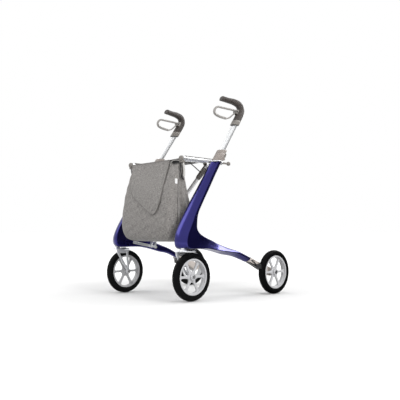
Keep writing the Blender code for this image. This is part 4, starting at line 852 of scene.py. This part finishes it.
# Rear ends: a beige nylon casing on each arm's end, with a boss for the wheel, a black guard along its lower
# edge and a dark plug in its outer face. Its pin carries the brake's rocker and shoe, which show as the CAD
# has them, as do the saddles and the folding pins.
def brake_casings():
    """The outline is square to the arm's end and runs to a round about the hub; its edges are rounded."""
    hub = WHEELS["rear"]
    end = np.array((0.0925, 0.1600))
    along = unit(hub[1:] - end)
    up = np.array((-along[1], along[0]))
    start = end + along * 0.0003
    turn = np.linspace(math.pi / 2, -math.pi / 2, 24)[:, None]
    round_end = hub[1:] + 0.0190 * (up * np.sin(turn) + along * np.cos(turn))
    middle = start + along * 0.070
    top = through(np.array((start + up * 0.01125, middle + up * 0.0122, round_end[0])), 10)
    low = through(np.array((round_end[-1], middle - up * 0.0122, start - up * 0.01125)), 10)
    outline = np.concatenate([top[:-1], round_end, low[1:]])
    body = plate(outline, (0.2385, 0, 0), Y_WAY, Z_WAY, 0.0255, 0.0028)
    boss = lathed((0.2600, *hub[1:]), X_WAY, ((0, 0.0150), (0.0042, 0.0150), (0.0116, 0.0110),
                                              (0.0117, 0.0065)), 0.0010)
    pin = skin(turned((0.2600, *PINS["rocker_left"][1:]), X_WAY, ((0, 0.0025), (0.0108, 0.0025)), 24))
    pair("brake_casing", [skin(body), boss, pin], pale_beige, "frame", ["brake_casing"], 35)
    guard = [start + along * a - up * b for a, b in ((0.002, 0.0092), (0.058, 0.0105), (0.094, 0.0135),
                                                     (0.088, 0.0168), (0.060, 0.0148), (0.002, 0.0130))]
    strip = plate(softened(guard, (0.001, 0.02, 0.003, 0.005, 0.02, 0.004)), (0.2395, 0, 0), Y_WAY, Z_WAY,
                  0.0252, 0.001)
    pair("brake_guard", [skin(strip)], black, "frame")
    plug = lathed((0.2640, 0.1140, 0.1530), X_WAY, ((0, 0.0052), (0.0009, 0.0050), (0.0013, 0.0030),
                                                    (0.0009, 0.0015)), 0.0005, 32, 4)
    pair("brake_plug", [plug], black, "frame")


def kept(finish, *names, sides=("_left", "_right")):
    """Small CAD nodes that show as they are, with this finish."""
    for node_name in [name + side for name in names for side in sides]:
        for slot in frame["nodes"][node_name].material_slots:
            slot.material = finish


pale_beige = grained("beige_plastic", (0.420, 0.380, 0.350), 0.45)
pressed = grained("steel", (0.50, 0.50, 0.51), 0.36, 1500.0, 0.10, 0.00003, metallic=1.0)
kept(pressed, "brake_rocker", "fold_pin")
kept(black, "brake_shoe", "rail_saddle")
kept(pressed, "cross_bolt", sides=("",))
brake_casings()


# Folding cross: drawn tubes with an eye at each end. Their upper ends run in ribbed taupe sleeves, and their
# lower ends turn in the lugs of pressed brackets on the frames' inner faces.
BAR_Y = {"left": -0.123, "right": -0.097}
PIVOT = np.array((0.1855, 0.244, 0.577))
SLEEVE_LENGTH = 0.068


def cross_ends(side):
    """A bar's pivots: on its own side's bracket, and on the other side's rail."""
    way = 1 if side == "left" else -1
    return (np.array((way * PIVOT[0], BAR_Y[side], PIVOT[1])),
            np.array((-way * PIVOT[0], BAR_Y[side], PIVOT[2])))


def on_side(side, surfaces):
    """Left-hand surfaces as they are, or their mirrored twins for the right."""
    return surfaces if side == "left" else [mirrored(s) for s in surfaces]


def cross_bars():
    d = np.array((0.0050, 0.0065, 0.0100, 0.0150))
    r = np.array((0.0050, 0.0072, 0.0086, 0.0088))
    eye = softened(((-0.0090, 0.0043), (-0.0090, 0.0092), (0.0090, 0.0092), (0.0090, 0.0043)), 0.0008)
    for side in ("left", "right"):
        low, high = cross_ends(side)
        span = np.linalg.norm(high - low)
        along = (high - low) / span
        reach, size = np.concatenate([d, span - d[::-1]]), np.concatenate([r, r[::-1]])
        rows = np.concatenate([low + along * reach[:, None], size[:, None], size[:, None]], 1)
        eyes = [turned_ring(spot, Y_WAY, eye, 40) for spot in (low, high)]
        piece("cross_bar_" + side, [bar(rows, 40), *eyes], satin, "bar_" + side, ["cross_bar_" + side])


def bar_sleeves():
    """The outer radius swells as sin twenty times along the sleeve, between two plain collars."""
    reach = np.linspace(0, SLEEVE_LENGTH, 161)
    swell = np.clip(1.3 * np.sin(reach / SLEEVE_LENGTH * 40 * math.pi), -1, 1)
    ribs = 0.0112 - 0.0005 * swell * ((reach > 0.006) & (reach < 0.062))
    outer = np.stack([reach, ribs], -1)
    profile = np.concatenate([((0, 0.0091), (0, 0.0107)), outer[1:-1],
                              ((SLEEVE_LENGTH, 0.0107), (SLEEVE_LENGTH, 0.0091))])
    for side in ("left", "right"):
        low, high = cross_ends(side)
        way = unit(low - high)
        piece("bar_sleeve_" + side, [turned_ring(high + way * 0.0137, way, profile)], taupe, "bar_" + side,
              ["bar_sleeve_" + side])


def fold_brackets():
    """A long plate between the arm's two ends and two lugs square to it, which stand where the bar is."""
    low, high = np.array((-0.210, 0.2345)), np.array((-0.066, 0.2085))
    outline = softened(((low[0], low[1] - 0.0062), (high[0], high[1] - 0.0062), (high[0], high[1] + 0.0062),
                        (low[0], low[1] + 0.0062)), 0.006)
    for side in ("left", "right"):
        made = [skin(plate(outline, (0.2002, 0, 0), Y_WAY, Z_WAY, 0.0030, 0.0008))]
        for lug_y in (BAR_Y[side] - 0.0095, BAR_Y[side] + 0.0125):
            base = low[1] + (high[1] - low[1]) * (lug_y - low[0]) / (high[0] - low[0])
            lug = ((0.2015, base - 0.007), (0.2015, 0.2500), (0.1895, 0.2532), (0.1805, 0.2515),
                   (0.1767, 0.2440), (0.1805, 0.2355), (0.1895, base - 0.008))
            made.append(skin(plate(softened(lug, 0.003), (0, lug_y, 0), X_WAY, Z_WAY, 0.0030, 0.0006)))
        for share in (0.10, 0.90):
            rivet = (0.2003, *(low + (high - low) * share))
            made.append(skin(turned(rivet, -X_WAY, ((0, 0.0036), (0.0010, 0.0032), (0.0015, 0.0015)), 24)))
        piece("fold_bracket_" + side, on_side(side, made), silver, "frame_" + side, ["fold_bracket_" + side])


satin = metal("anodised_silver", (0.80, 0.80, 0.80), 0.40, metallic=0.15)
cross_bars()
bar_sleeves()
fold_brackets()


# Seat rails: silver tubes along the seat's sides. Each carries the far end of the other side's bar between
# two taupe ears, a fitting with a silver ring in front, and a knob behind.
RAIL = np.array((0.178, 0, 0.594))
RAIL_FRONT, RAIL_REAR = -0.224, -0.004


def seat_rails():
    """The tube's wall is a closed ring of (y, radius), pushed out where it has to clear the bar's eye."""
    rounding = 0.0006
    for side in ("left", "right"):
        other = BAR_Y["right" if side == "left" else "left"]
        knots = [RAIL_FRONT, RAIL_FRONT + rounding, other - 0.0103, other - 0.0100, other, other + 0.0100,
                 other + 0.0103, RAIL_REAR - rounding, RAIL_REAR]
        outer = np.stack([knots, [0.0104] + [0.011] * 7 + [0.0104]], -1)
        inner = np.array(((RAIL_REAR, 0.0092), (RAIL_FRONT, 0.0092)))
        grid = turned(RAIL, Y_WAY, np.concatenate([outer, inner]), 72)
        off = (grid - (PIVOT[0], 0, PIVOT[2])) * (1, 0, 1)
        away = np.linalg.norm(off, axis=-1, keepdims=True)
        near = (np.abs(grid[..., 1:2] - other) < 0.0101) & (away < 0.0098)
        grid = grid + np.where(near, off * (0.0098 / np.maximum(away, 1e-6) - 1), 0)
        tube = skin(grid, round_rows=True)
        pin = skin(turned((PIVOT[0], other - 0.0125, PIVOT[2]), Y_WAY, ((0, 0.0040), (0.025, 0.0040)), 32))
        ear = softened(((0.1700, 0.5900), (0.1695, 0.5810), (0.1785, 0.5695), (0.1875, 0.5678),
                        (0.1943, 0.5750), (0.1927, 0.5840), (0.1860, 0.5900)), 0.003)
        ears = [skin(plate(ear, (0, other + y, 0), X_WAY, Z_WAY, 0.0030, 0.0006)) for y in (-0.0095, 0.0125)]
        piece("seat_rail_" + side, on_side(side, [tube, pin]), silver, "rail_" + side, ["seat_rail_" + side])
        piece("rail_ears_" + side, on_side(side, ears), taupe, "rail_" + side)


def rail_fittings():
    nose = softened(((-0.2503, 0.0002), (-0.2503, 0.0090), (-0.2470, 0.0118), (-0.2400, 0.0118),
                     (-0.2400, 0.0108)), (0.003, 0.001, 0.0004), closed=False)
    body = ((-0.2390, 0.0104), (-0.2260, 0.0104))
    shell = np.concatenate([nose, body])
    block = plate(softened(((-0.2462, 0.5760), (-0.2300, 0.5760), (-0.2300, 0.5940), (-0.2462, 0.5940)),
                           0.003), (0.1690, 0, 0), Y_WAY, Z_WAY, 0.018, 0.0015)
    pair("rail_connector", [skin(turned(RAIL, Y_WAY, shell)), skin(block)], taupe, "rail", ["rail_connector"])
    ring = softened(((-0.2392, 0.0105), (-0.2392, 0.0119), (-0.2250, 0.0119), (-0.2250, 0.0105)), 0.0004)
    pair("connector_ring", [turned_ring(RAIL, Y_WAY, ring)], silver, "rail")
    lips = [((a, 0.0104), (a, 0.0121), (a + 0.0010, 0.0121), (a + 0.0010, 0.0104))
            for a in (-0.2403, -0.2249)]
    pair("connector_seals", [turned_ring(RAIL, Y_WAY, lip) for lip in lips], black, "rail")
    stem = ((-0.0037, 0.0045), (0.0330, 0.0045))
    turn = np.linspace(0.15, math.pi - 0.02, 24)
    ball = np.stack([0.0430 - 0.0095 * np.cos(turn), 0.0095 * np.sin(turn)], -1)
    knob = np.concatenate([stem, ball])
    pair("rail_knob", [skin(turned(RAIL, Y_WAY, knob))], taupe, "rail", ["rail_knob"])


seat_rails()
rail_fittings()


# Seat: one sheet of dark webbing cloth stretched between the rails, which hangs a little in the middle and
# has a thicker hem in front and behind. A sleeve of the same cloth follows each rail's round.
def woven():
    """Cloth: two thread waves make the height; noise stretched along each thread gives it its own colour, and
    the colour is painted darker where the threads dip, as painted shade between them.
    """
    tree, given, out = effect("woven_cloth", (("Colour", "colour", (0.3, 0.3, 0.3, 1)),
                                              ("Threads", "value", 1400.0), ("Melange", "value", 0.5)),
                              (("Colour", "colour"), ("Height", "value")))
    pattern = node(tree, "UVMap", {"uv_map": "metres"}).outputs[0]
    split = node(tree, "SeparateXYZ", {}, {0: pattern})
    waves = []
    for axis in (0, 1):
        angle = sum_of(tree, "MULTIPLY", sum_of(tree, "MULTIPLY", split.outputs[axis],
                                                given.outputs["Threads"]), math.pi)
        waves.append(sum_of(tree, "ABSOLUTE", sum_of(tree, "SINE", angle)))
    height = sum_of(tree, "MULTIPLY", waves[0], waves[1])
    tones = []
    for pitch in ((900.0, 70.0, 1.0), (70.0, 900.0, 1.0)):
        spread = node(tree, "VectorMath", {"operation": "MULTIPLY"}, {0: pattern, 1: pitch}).outputs[0]
        tones.append(noise(tree, spread, 1.0, 2.0))
    mixed = sum_of(tree, "SUBTRACT", sum_of(tree, "ADD", *tones), 1.0)
    # painted shade: the colour falls to 0.88 where the threads dip and rises to 1.06 on their crowns
    level = sum_of(tree, "ADD", sum_of(tree, "MULTIPLY", mixed, given.outputs["Melange"]),
                   ranged(tree, height, 0.88, 1.06))
    tree.links.new(scaled_colour(tree, given.outputs["Colour"], level), out.inputs["Colour"])
    tree.links.new(height, out.inputs["Height"])
    return tree


WOVEN = woven()


def cloth(slot, colour, threads, melange, sheen=0.2, relief=0.00015):
    """A fabric finish: the weave's colour and height, rough, with a little sheen."""
    made, tree, shader = finish_of(slot, 0.85, sheen_weight=sheen, sheen_roughness=0.5)
    weave = node(tree, "Group", {"node_tree": WOVEN}, {"Colour": (*colour, 1), "Threads": threads,
                                                       "Melange": melange})
    tree.links.new(weave.outputs["Colour"], shader.inputs["Base Color"])
    bump(tree, shader, weave.outputs["Height"], 0.6, relief)
    return made


melange = cloth("grey_melange", (0.180, 0.170, 0.161), 1300.0, 2.4)
sling_cloth = cloth("sling_brown", (0.060, 0.052, 0.046), 900.0, 0.5)
binding = cloth("sling_brown", (0.075, 0.070, 0.066), 1800.0, 0.3)


def seat_sling():
    """Between the rails the height falls by 0.004 (1 - xx / aa), a being the half span, and a little more
    towards the middle of the seat's depth. The under side is the same surface moved down by the cloth's
    thickness."""
    thick, edge = 0.0016, 0.1665
    front, back = -0.2220, -0.0600
    x = np.linspace(edge, -edge, 56)
    y = np.concatenate([[front, front + 0.0006], np.linspace(-0.208, -0.074, 26), [back - 0.0006, back]])
    middle = 1 - (x / edge) ** 2
    hem = 0.0006 * ((y < -0.2095) | (y > -0.0725))[:, None]
    loose = 0.0016 * np.sin((y - front) / (back - front) * math.pi)[:, None]
    top = 0.6005 - (0.0040 + loose) * middle + hem
    over = np.stack(np.broadcast_arrays(x, y[:, None], top), -1)
    under = over - (0, 0, thick)
    sling = piece("seat_sling", [skin(np.concatenate([over, under[:, ::-1]], 1))], sling_cloth, "rail_left",
                  ["seat_sling"], 50)
    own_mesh(sling)
    seams = []
    for spot in (-0.2130, -0.0690):
        row = over[np.argmin(np.abs(y - spot))] * (1, 0, 1) + (0, spot, 0.0009)
        seams.append(bar([(*p, 0.0005, 0.00035) for p in row], 6))
    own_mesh(piece("seat_seams", seams, binding, "rail_left"))


def seat_sleeves():
    """Over each rail the cloth follows its round, from the outside of its top to the inner side."""
    turn = np.radians(np.linspace(64, 150, 18))
    wrap = [np.stack([RAIL[0] + r * np.cos(turn), RAIL[2] + r * np.sin(turn)], -1) for r in (0.0130, 0.0114)]
    ring = np.concatenate([wrap[0], wrap[1][::-1]])
    y = np.concatenate([[-0.2222, -0.2216], np.linspace(-0.208, -0.074, 12), [-0.0604, -0.0598]])
    grid = np.stack(np.broadcast_arrays(ring[:, 0], y[:, None], ring[:, 1]), -1)
    pair("seat_sleeve", [skin(grid)], sling_cloth, "rail")


seat_sleeves()
seat_sling()


# Shopping bag: a soft lofted shell of grey melange cloth with creases and a bound mouth, inside which a
# near-black sheet is painted shade. A webbing loop and a black strap hang it under each rail's fitting. It
# has a seam down each side, a white tag, and a flap.
BAG_ROWS = ((0.5880, -0.2440, -0.2120, 1.000), (0.5600, -0.2520, -0.2110, 1.012),
            (0.5240, -0.2640, -0.2080, 1.018), (0.4650, -0.2840, -0.1950, 1.030),
            (0.4000, -0.2980, -0.1750, 1.035), (0.3300, -0.3070, -0.1620, 1.035),
            (0.2850, -0.3030, -0.1550, 1.000), (0.2560, -0.2900, -0.1610, 0.930),
            (0.2430, -0.2650, -0.1800, 0.800))
BAG_HALF = 0.162
BAG_MIDDLE = -0.222


def bag_at(z):
    """Front y, back y and half width of the bag at height z."""
    rows = through(np.array(BAG_ROWS)[::-1], 8)
    return [np.interp(z, rows[:, 0], rows[:, k]) * (BAG_HALF if k == 3 else 1) for k in (1, 2, 3)]


def bag_rings(z, inset):
    """Rings of the bag's section, inset from the outline. Creases and the side folds move each point in by
    waves of its height and its place round the ring, and the mouth dips by a bell curve over each front
    corner."""
    front, back, half = bag_at(z)
    front, back, half = front + inset, back - inset, half - inset
    corners = np.stack([np.stack(p, -1) for p in ((-half, front), (half, front), (half, back),
                                                  (-half, back))], 1)
    rings = []
    for first, second in ((0, 1), (1, 2), (2, 3), (3, 0)):
        t = np.linspace(0, 1, 36, endpoint=False)[:, None]
        rings.append(corners[:, first, None] + (corners[:, second, None] - corners[:, first, None]) * t)
    ring = np.concatenate(rings, 1)
    for _ in range(10):
        ring = (np.roll(ring, 1, 1) + 2 * ring + np.roll(ring, -1, 1)) / 4
    x, y = ring[..., 0], ring[..., 1]
    z = z[:, None]
    deep = np.clip((0.580 - z) / 0.10, 0, 1)
    centre = ((front + back) / 2)[:, None]
    side = np.clip((np.abs(x) / half[:, None] - 0.9) / 0.1, 0, 1)
    fold = np.exp(-((y - centre - 0.004) / 0.010) ** 2) * side
    face = 1 - side
    crease = (0.0016 * np.sin(31 * x + 55 * z + 1.0) * np.sin(48 * z - 17 * x + 0.4)
              + 0.0011 * np.sin(95 * z + 40 * x) * np.sin(23 * x + 1.3) + 0.0008 * np.sin(150 * z - 60 * x))
    x = x - np.sign(x) * (0.010 * fold * (0.35 + 0.65 * deep)
                          + 0.0018 * side * deep * np.sin(70 * z + 200 * y))
    x = x + np.sign(x) * 0.0035 * np.exp(-((y - centre + 0.018) / 0.010) ** 2) * side * deep
    y = y + np.sign(y - centre) * face * deep * crease - 0.0015 * face * deep
    path = np.where(side > 0.5, y - front[:, None], np.abs(x) - half[:, None]) + 0.008
    dip = 0.0165 * np.exp(-((path + 0.010) / 0.032) ** 4) * (y < centre) * np.clip((z - 0.540) / 0.045, 0, 1)
    return np.stack([x, y, z - dip], -1)


def loop_of(line, half_side, half_up):
    """A bound edge: a ten-sided section that follows a closed line round to its start."""
    closed = np.concatenate([line, line[:1]])
    sizes = np.ones(len(closed))
    return skin(carried(closed, oval(half_side * sizes, half_up * sizes, 10))[:-1], round_rows=True)


def bag():
    """From the middle of the bottom up the outside, over the mouth's hem and down the inside."""
    z = np.concatenate([np.linspace(0.2430, 0.2560, 4), np.linspace(0.262, 0.584, 70), [0.5868]])
    outer = bag_rings(z, 0)
    outer = np.concatenate([outer, bag_rings(np.array((0.588,)), 0.0007)])
    inner = bag_rings(np.array((0.588, 0.5868, 0.570, 0.540, 0.480, 0.400, 0.330, 0.285, 0.262, 0.2500)),
                      0.0026)
    bottom = [outer[0] * (s, s, 1) + np.array((0, (1 - s) * BAG_MIDDLE, -0.0022 * (1 - s)))
              for s in (0.25, 0.55, 0.80, 0.94)]
    floor = [inner[-1] * (s, s, 1) + np.array((0, (1 - s) * BAG_MIDDLE, 0)) for s in (0.94, 0.55, 0.25)]
    grid = np.concatenate([np.array(bottom), outer, inner, np.array(floor)])
    made = piece("bag", [skin(grid)], melange, "rail_left", ["bag"], 60)
    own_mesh(made)
    mouth = bag_rings(np.array((0.5885,)), 0.0013)[0]
    edging = piece("bag_edging", [loop_of(mouth, 0.0022, 0.0024)], binding, "rail_left")
    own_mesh(edging)


def bag_mouth():
    """A near-black sheet of painted shade inside the back and the sides, and a pale arch at each end of the
    mouth.
    """
    z = np.array((0.550, 0.5885))
    # painted shade: a near-black sheet just inside the back and side walls, below the mouth
    walls = [bag_rings(z, inset)[:, 50:110] for inset in (0.0028, 0.0036)]
    walls[0][1, :, 2] = walls[1][1, :, 2] = 0.5915
    made = piece("bag_lining", [skin(np.concatenate([walls[0], walls[1][:, ::-1]], 1))], mouth_shade_cloth, "rail_left")
    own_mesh(made)
    arch = through(((0.1120, -0.2480, 0.5700, 0.0013, 0.0013), (0.1200, -0.2485, 0.5830, 0.0013, 0.0013),
                    (0.1370, -0.2480, 0.5890, 0.0013, 0.0013), (0.1560, -0.2420, 0.5875, 0.0013, 0.0013),
                    (0.1640, -0.2320, 0.5790, 0.0013, 0.0013), (0.1655, -0.2240, 0.5660, 0.0013, 0.0013)), 8)
    for loop in pair("bag_arch", [bar(domed(arch, 0.001, 0.001), 12)], webbing, "rail"):
        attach(loop, "rail_left")
        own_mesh(loop)


def bag_trimmings():
    """A seam down each side, the tag on the left side, and at each rail a strap and a loop of webbing."""
    z = np.linspace(0.505, 0.320, 40)
    rings = bag_rings(z, 0)
    front, back, _ = bag_at(z)
    away = np.abs(rings[..., 1] - (0.68 * front + 0.32 * back)[:, None]) + 9 * (rings[..., 0] < 0)
    spine = rings[np.arange(len(z)), away.argmin(1)]
    rows = [(*spot, 0.0018, 0.0016) for spot in spine]
    ring = bag_rings(np.array((0.497,)), -0.0006)[0]
    near, far = (ring[np.argmin(np.abs(ring[:, 1] - y) + 9 * (ring[:, 0] < 0.12))] for y in (-0.268, -0.256))
    for seam in pair("bag_seam", [bar(domed(rows, 0.002, 0.002), 10)], binding, "rail"):
        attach(seam, "rail_left")
        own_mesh(seam)
    label = plate(softened(((0, -0.0105), (0.0120, -0.0110), (0.0120, 0.0105), (0, 0.0110)), 0.001), near,
                  unit(far - near), Z_WAY, 0.0012, 0.0003)
    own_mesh(piece("bag_tag", [skin(label)], tag_cloth, "rail_left"))
    strap = through(((0.1755, -0.2440, 0.5760, 0.0022, 0.0010), (0.1710, -0.2430, 0.5560, 0.0026, 0.0010),
                     (0.1690, -0.2370, 0.5330, 0.0026, 0.0010), (0.1690, -0.2300, 0.5140, 0.0050, 0.0016),
                     (0.1680, -0.2200, 0.5050, 0.0022, 0.0010)), 8)
    loop = through(((0.1760, -0.2300, 0.5770, 0.0050, 0.0009), (0.1735, -0.2230, 0.5560, 0.0050, 0.0009),
                    (0.1700, -0.2190, 0.5360, 0.0050, 0.0009), (0.1670, -0.2180, 0.5200, 0.0050, 0.0009)), 8)
    for name, rows, finish in (("bag_strap", strap, black), ("bag_loop", loop, webbing)):
        along, across = np.moveaxis(oval(rows[:, 3], rows[:, 4], 16, 4.0), -1, 0)
        flat = rows[:, None, :3] + np.stack([across, along, np.zeros_like(along)], -1)
        pair(name, [skin(flat)], finish, "rail", ["bag_hook"] * (name == "bag_strap"))


def bag_flap():
    """Rings of the flap's outline shrink to its middle, over the front and back over the under side; each
    point lies on the bag's front at its height, and a dark binding follows the outline."""
    outline = softened(((-0.158, 0.5920), (-0.120, 0.456), (0.072, 0.350), (0.106, 0.388), (0.109, 0.5920)),
                       (0.003, 0.050, 0.040, 0.050, 0.003), 12)
    share = np.linspace(0, 1, 14)[:-1, None]
    dense = []
    for start, end in zip(outline, np.roll(outline, -1, 0)):
        edge = start + (end - start) * share
        short = np.linalg.norm(edge[-1] - edge[0]) < 0.006
        dense.append(edge[:1] if short else edge)
    dense = np.concatenate(dense)
    centre = np.array((-0.010, 0.4900))
    shrink = np.array((0.02, 0.15, 0.30, 0.45, 0.60, 0.75, 0.88, 0.96, 1.0))[:, None, None]
    flat = centre + (dense - centre) * shrink

    def laid(points, off):
        x, z = points[..., 0], points[..., 1]
        front = bag_at(np.clip(z, 0.243, 0.588))[0]
        bulge = 0.0020 * np.sin(26 * x + 30 * z) * np.clip((0.56 - z) / 0.1, 0, 1)
        return np.stack([x, front - off - 0.0036 - bulge, z], -1)

    grid = np.concatenate([laid(flat, 0.0022), laid(flat[::-1], 0.0)])
    made = piece("bag_flap", [skin(grid)], melange, "flap", ["bag_flap"], 60)
    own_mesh(made)
    edging = piece("flap_edging", [loop_of(laid(dense, 0.0011), 0.0020, 0.0020)], flap_binding, "flap")
    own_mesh(edging)


flap_binding = cloth("grey_melange", (0.130, 0.122, 0.115), 1800.0, 0.6)
tag_cloth = cloth("grey_melange", (0.60, 0.60, 0.60), 2500.0, 0.1)
webbing = cloth("grey_melange", (0.42, 0.41, 0.39), 1100.0, 0.4)
# near-black cloth that paints the shade inside the bag's mouth
mouth_shade_cloth = cloth("grey_melange", (0.012, 0.012, 0.012), 1300.0, 0.4)
bag()
bag_mouth()
bag_trimmings()
bag_flap()


# Tension cord: a thin braided black cord from the left rail's fitting to the bar that carries the rail. It
# rides the rail alone, so its lower end leaves the bar when the frame folds.
def tension_cord():
    points = through(((0.1715, -0.1960, 0.5822), (0.1640, -0.1660, 0.5725), (0.1570, -0.1380, 0.5610),
                      (0.1503, -0.1105, 0.5497)), 10)
    radius = np.full(len(points), 0.0022)
    braid = cloth("black_plastic", (0.016, 0.015, 0.015), 900.0, 0.3)
    cord = piece("tension_cord", [skin(carried(points, oval(radius, radius, 16)))], braid, "rail_left",
                 ["tension_cord"])
    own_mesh(cord)


tension_cord()
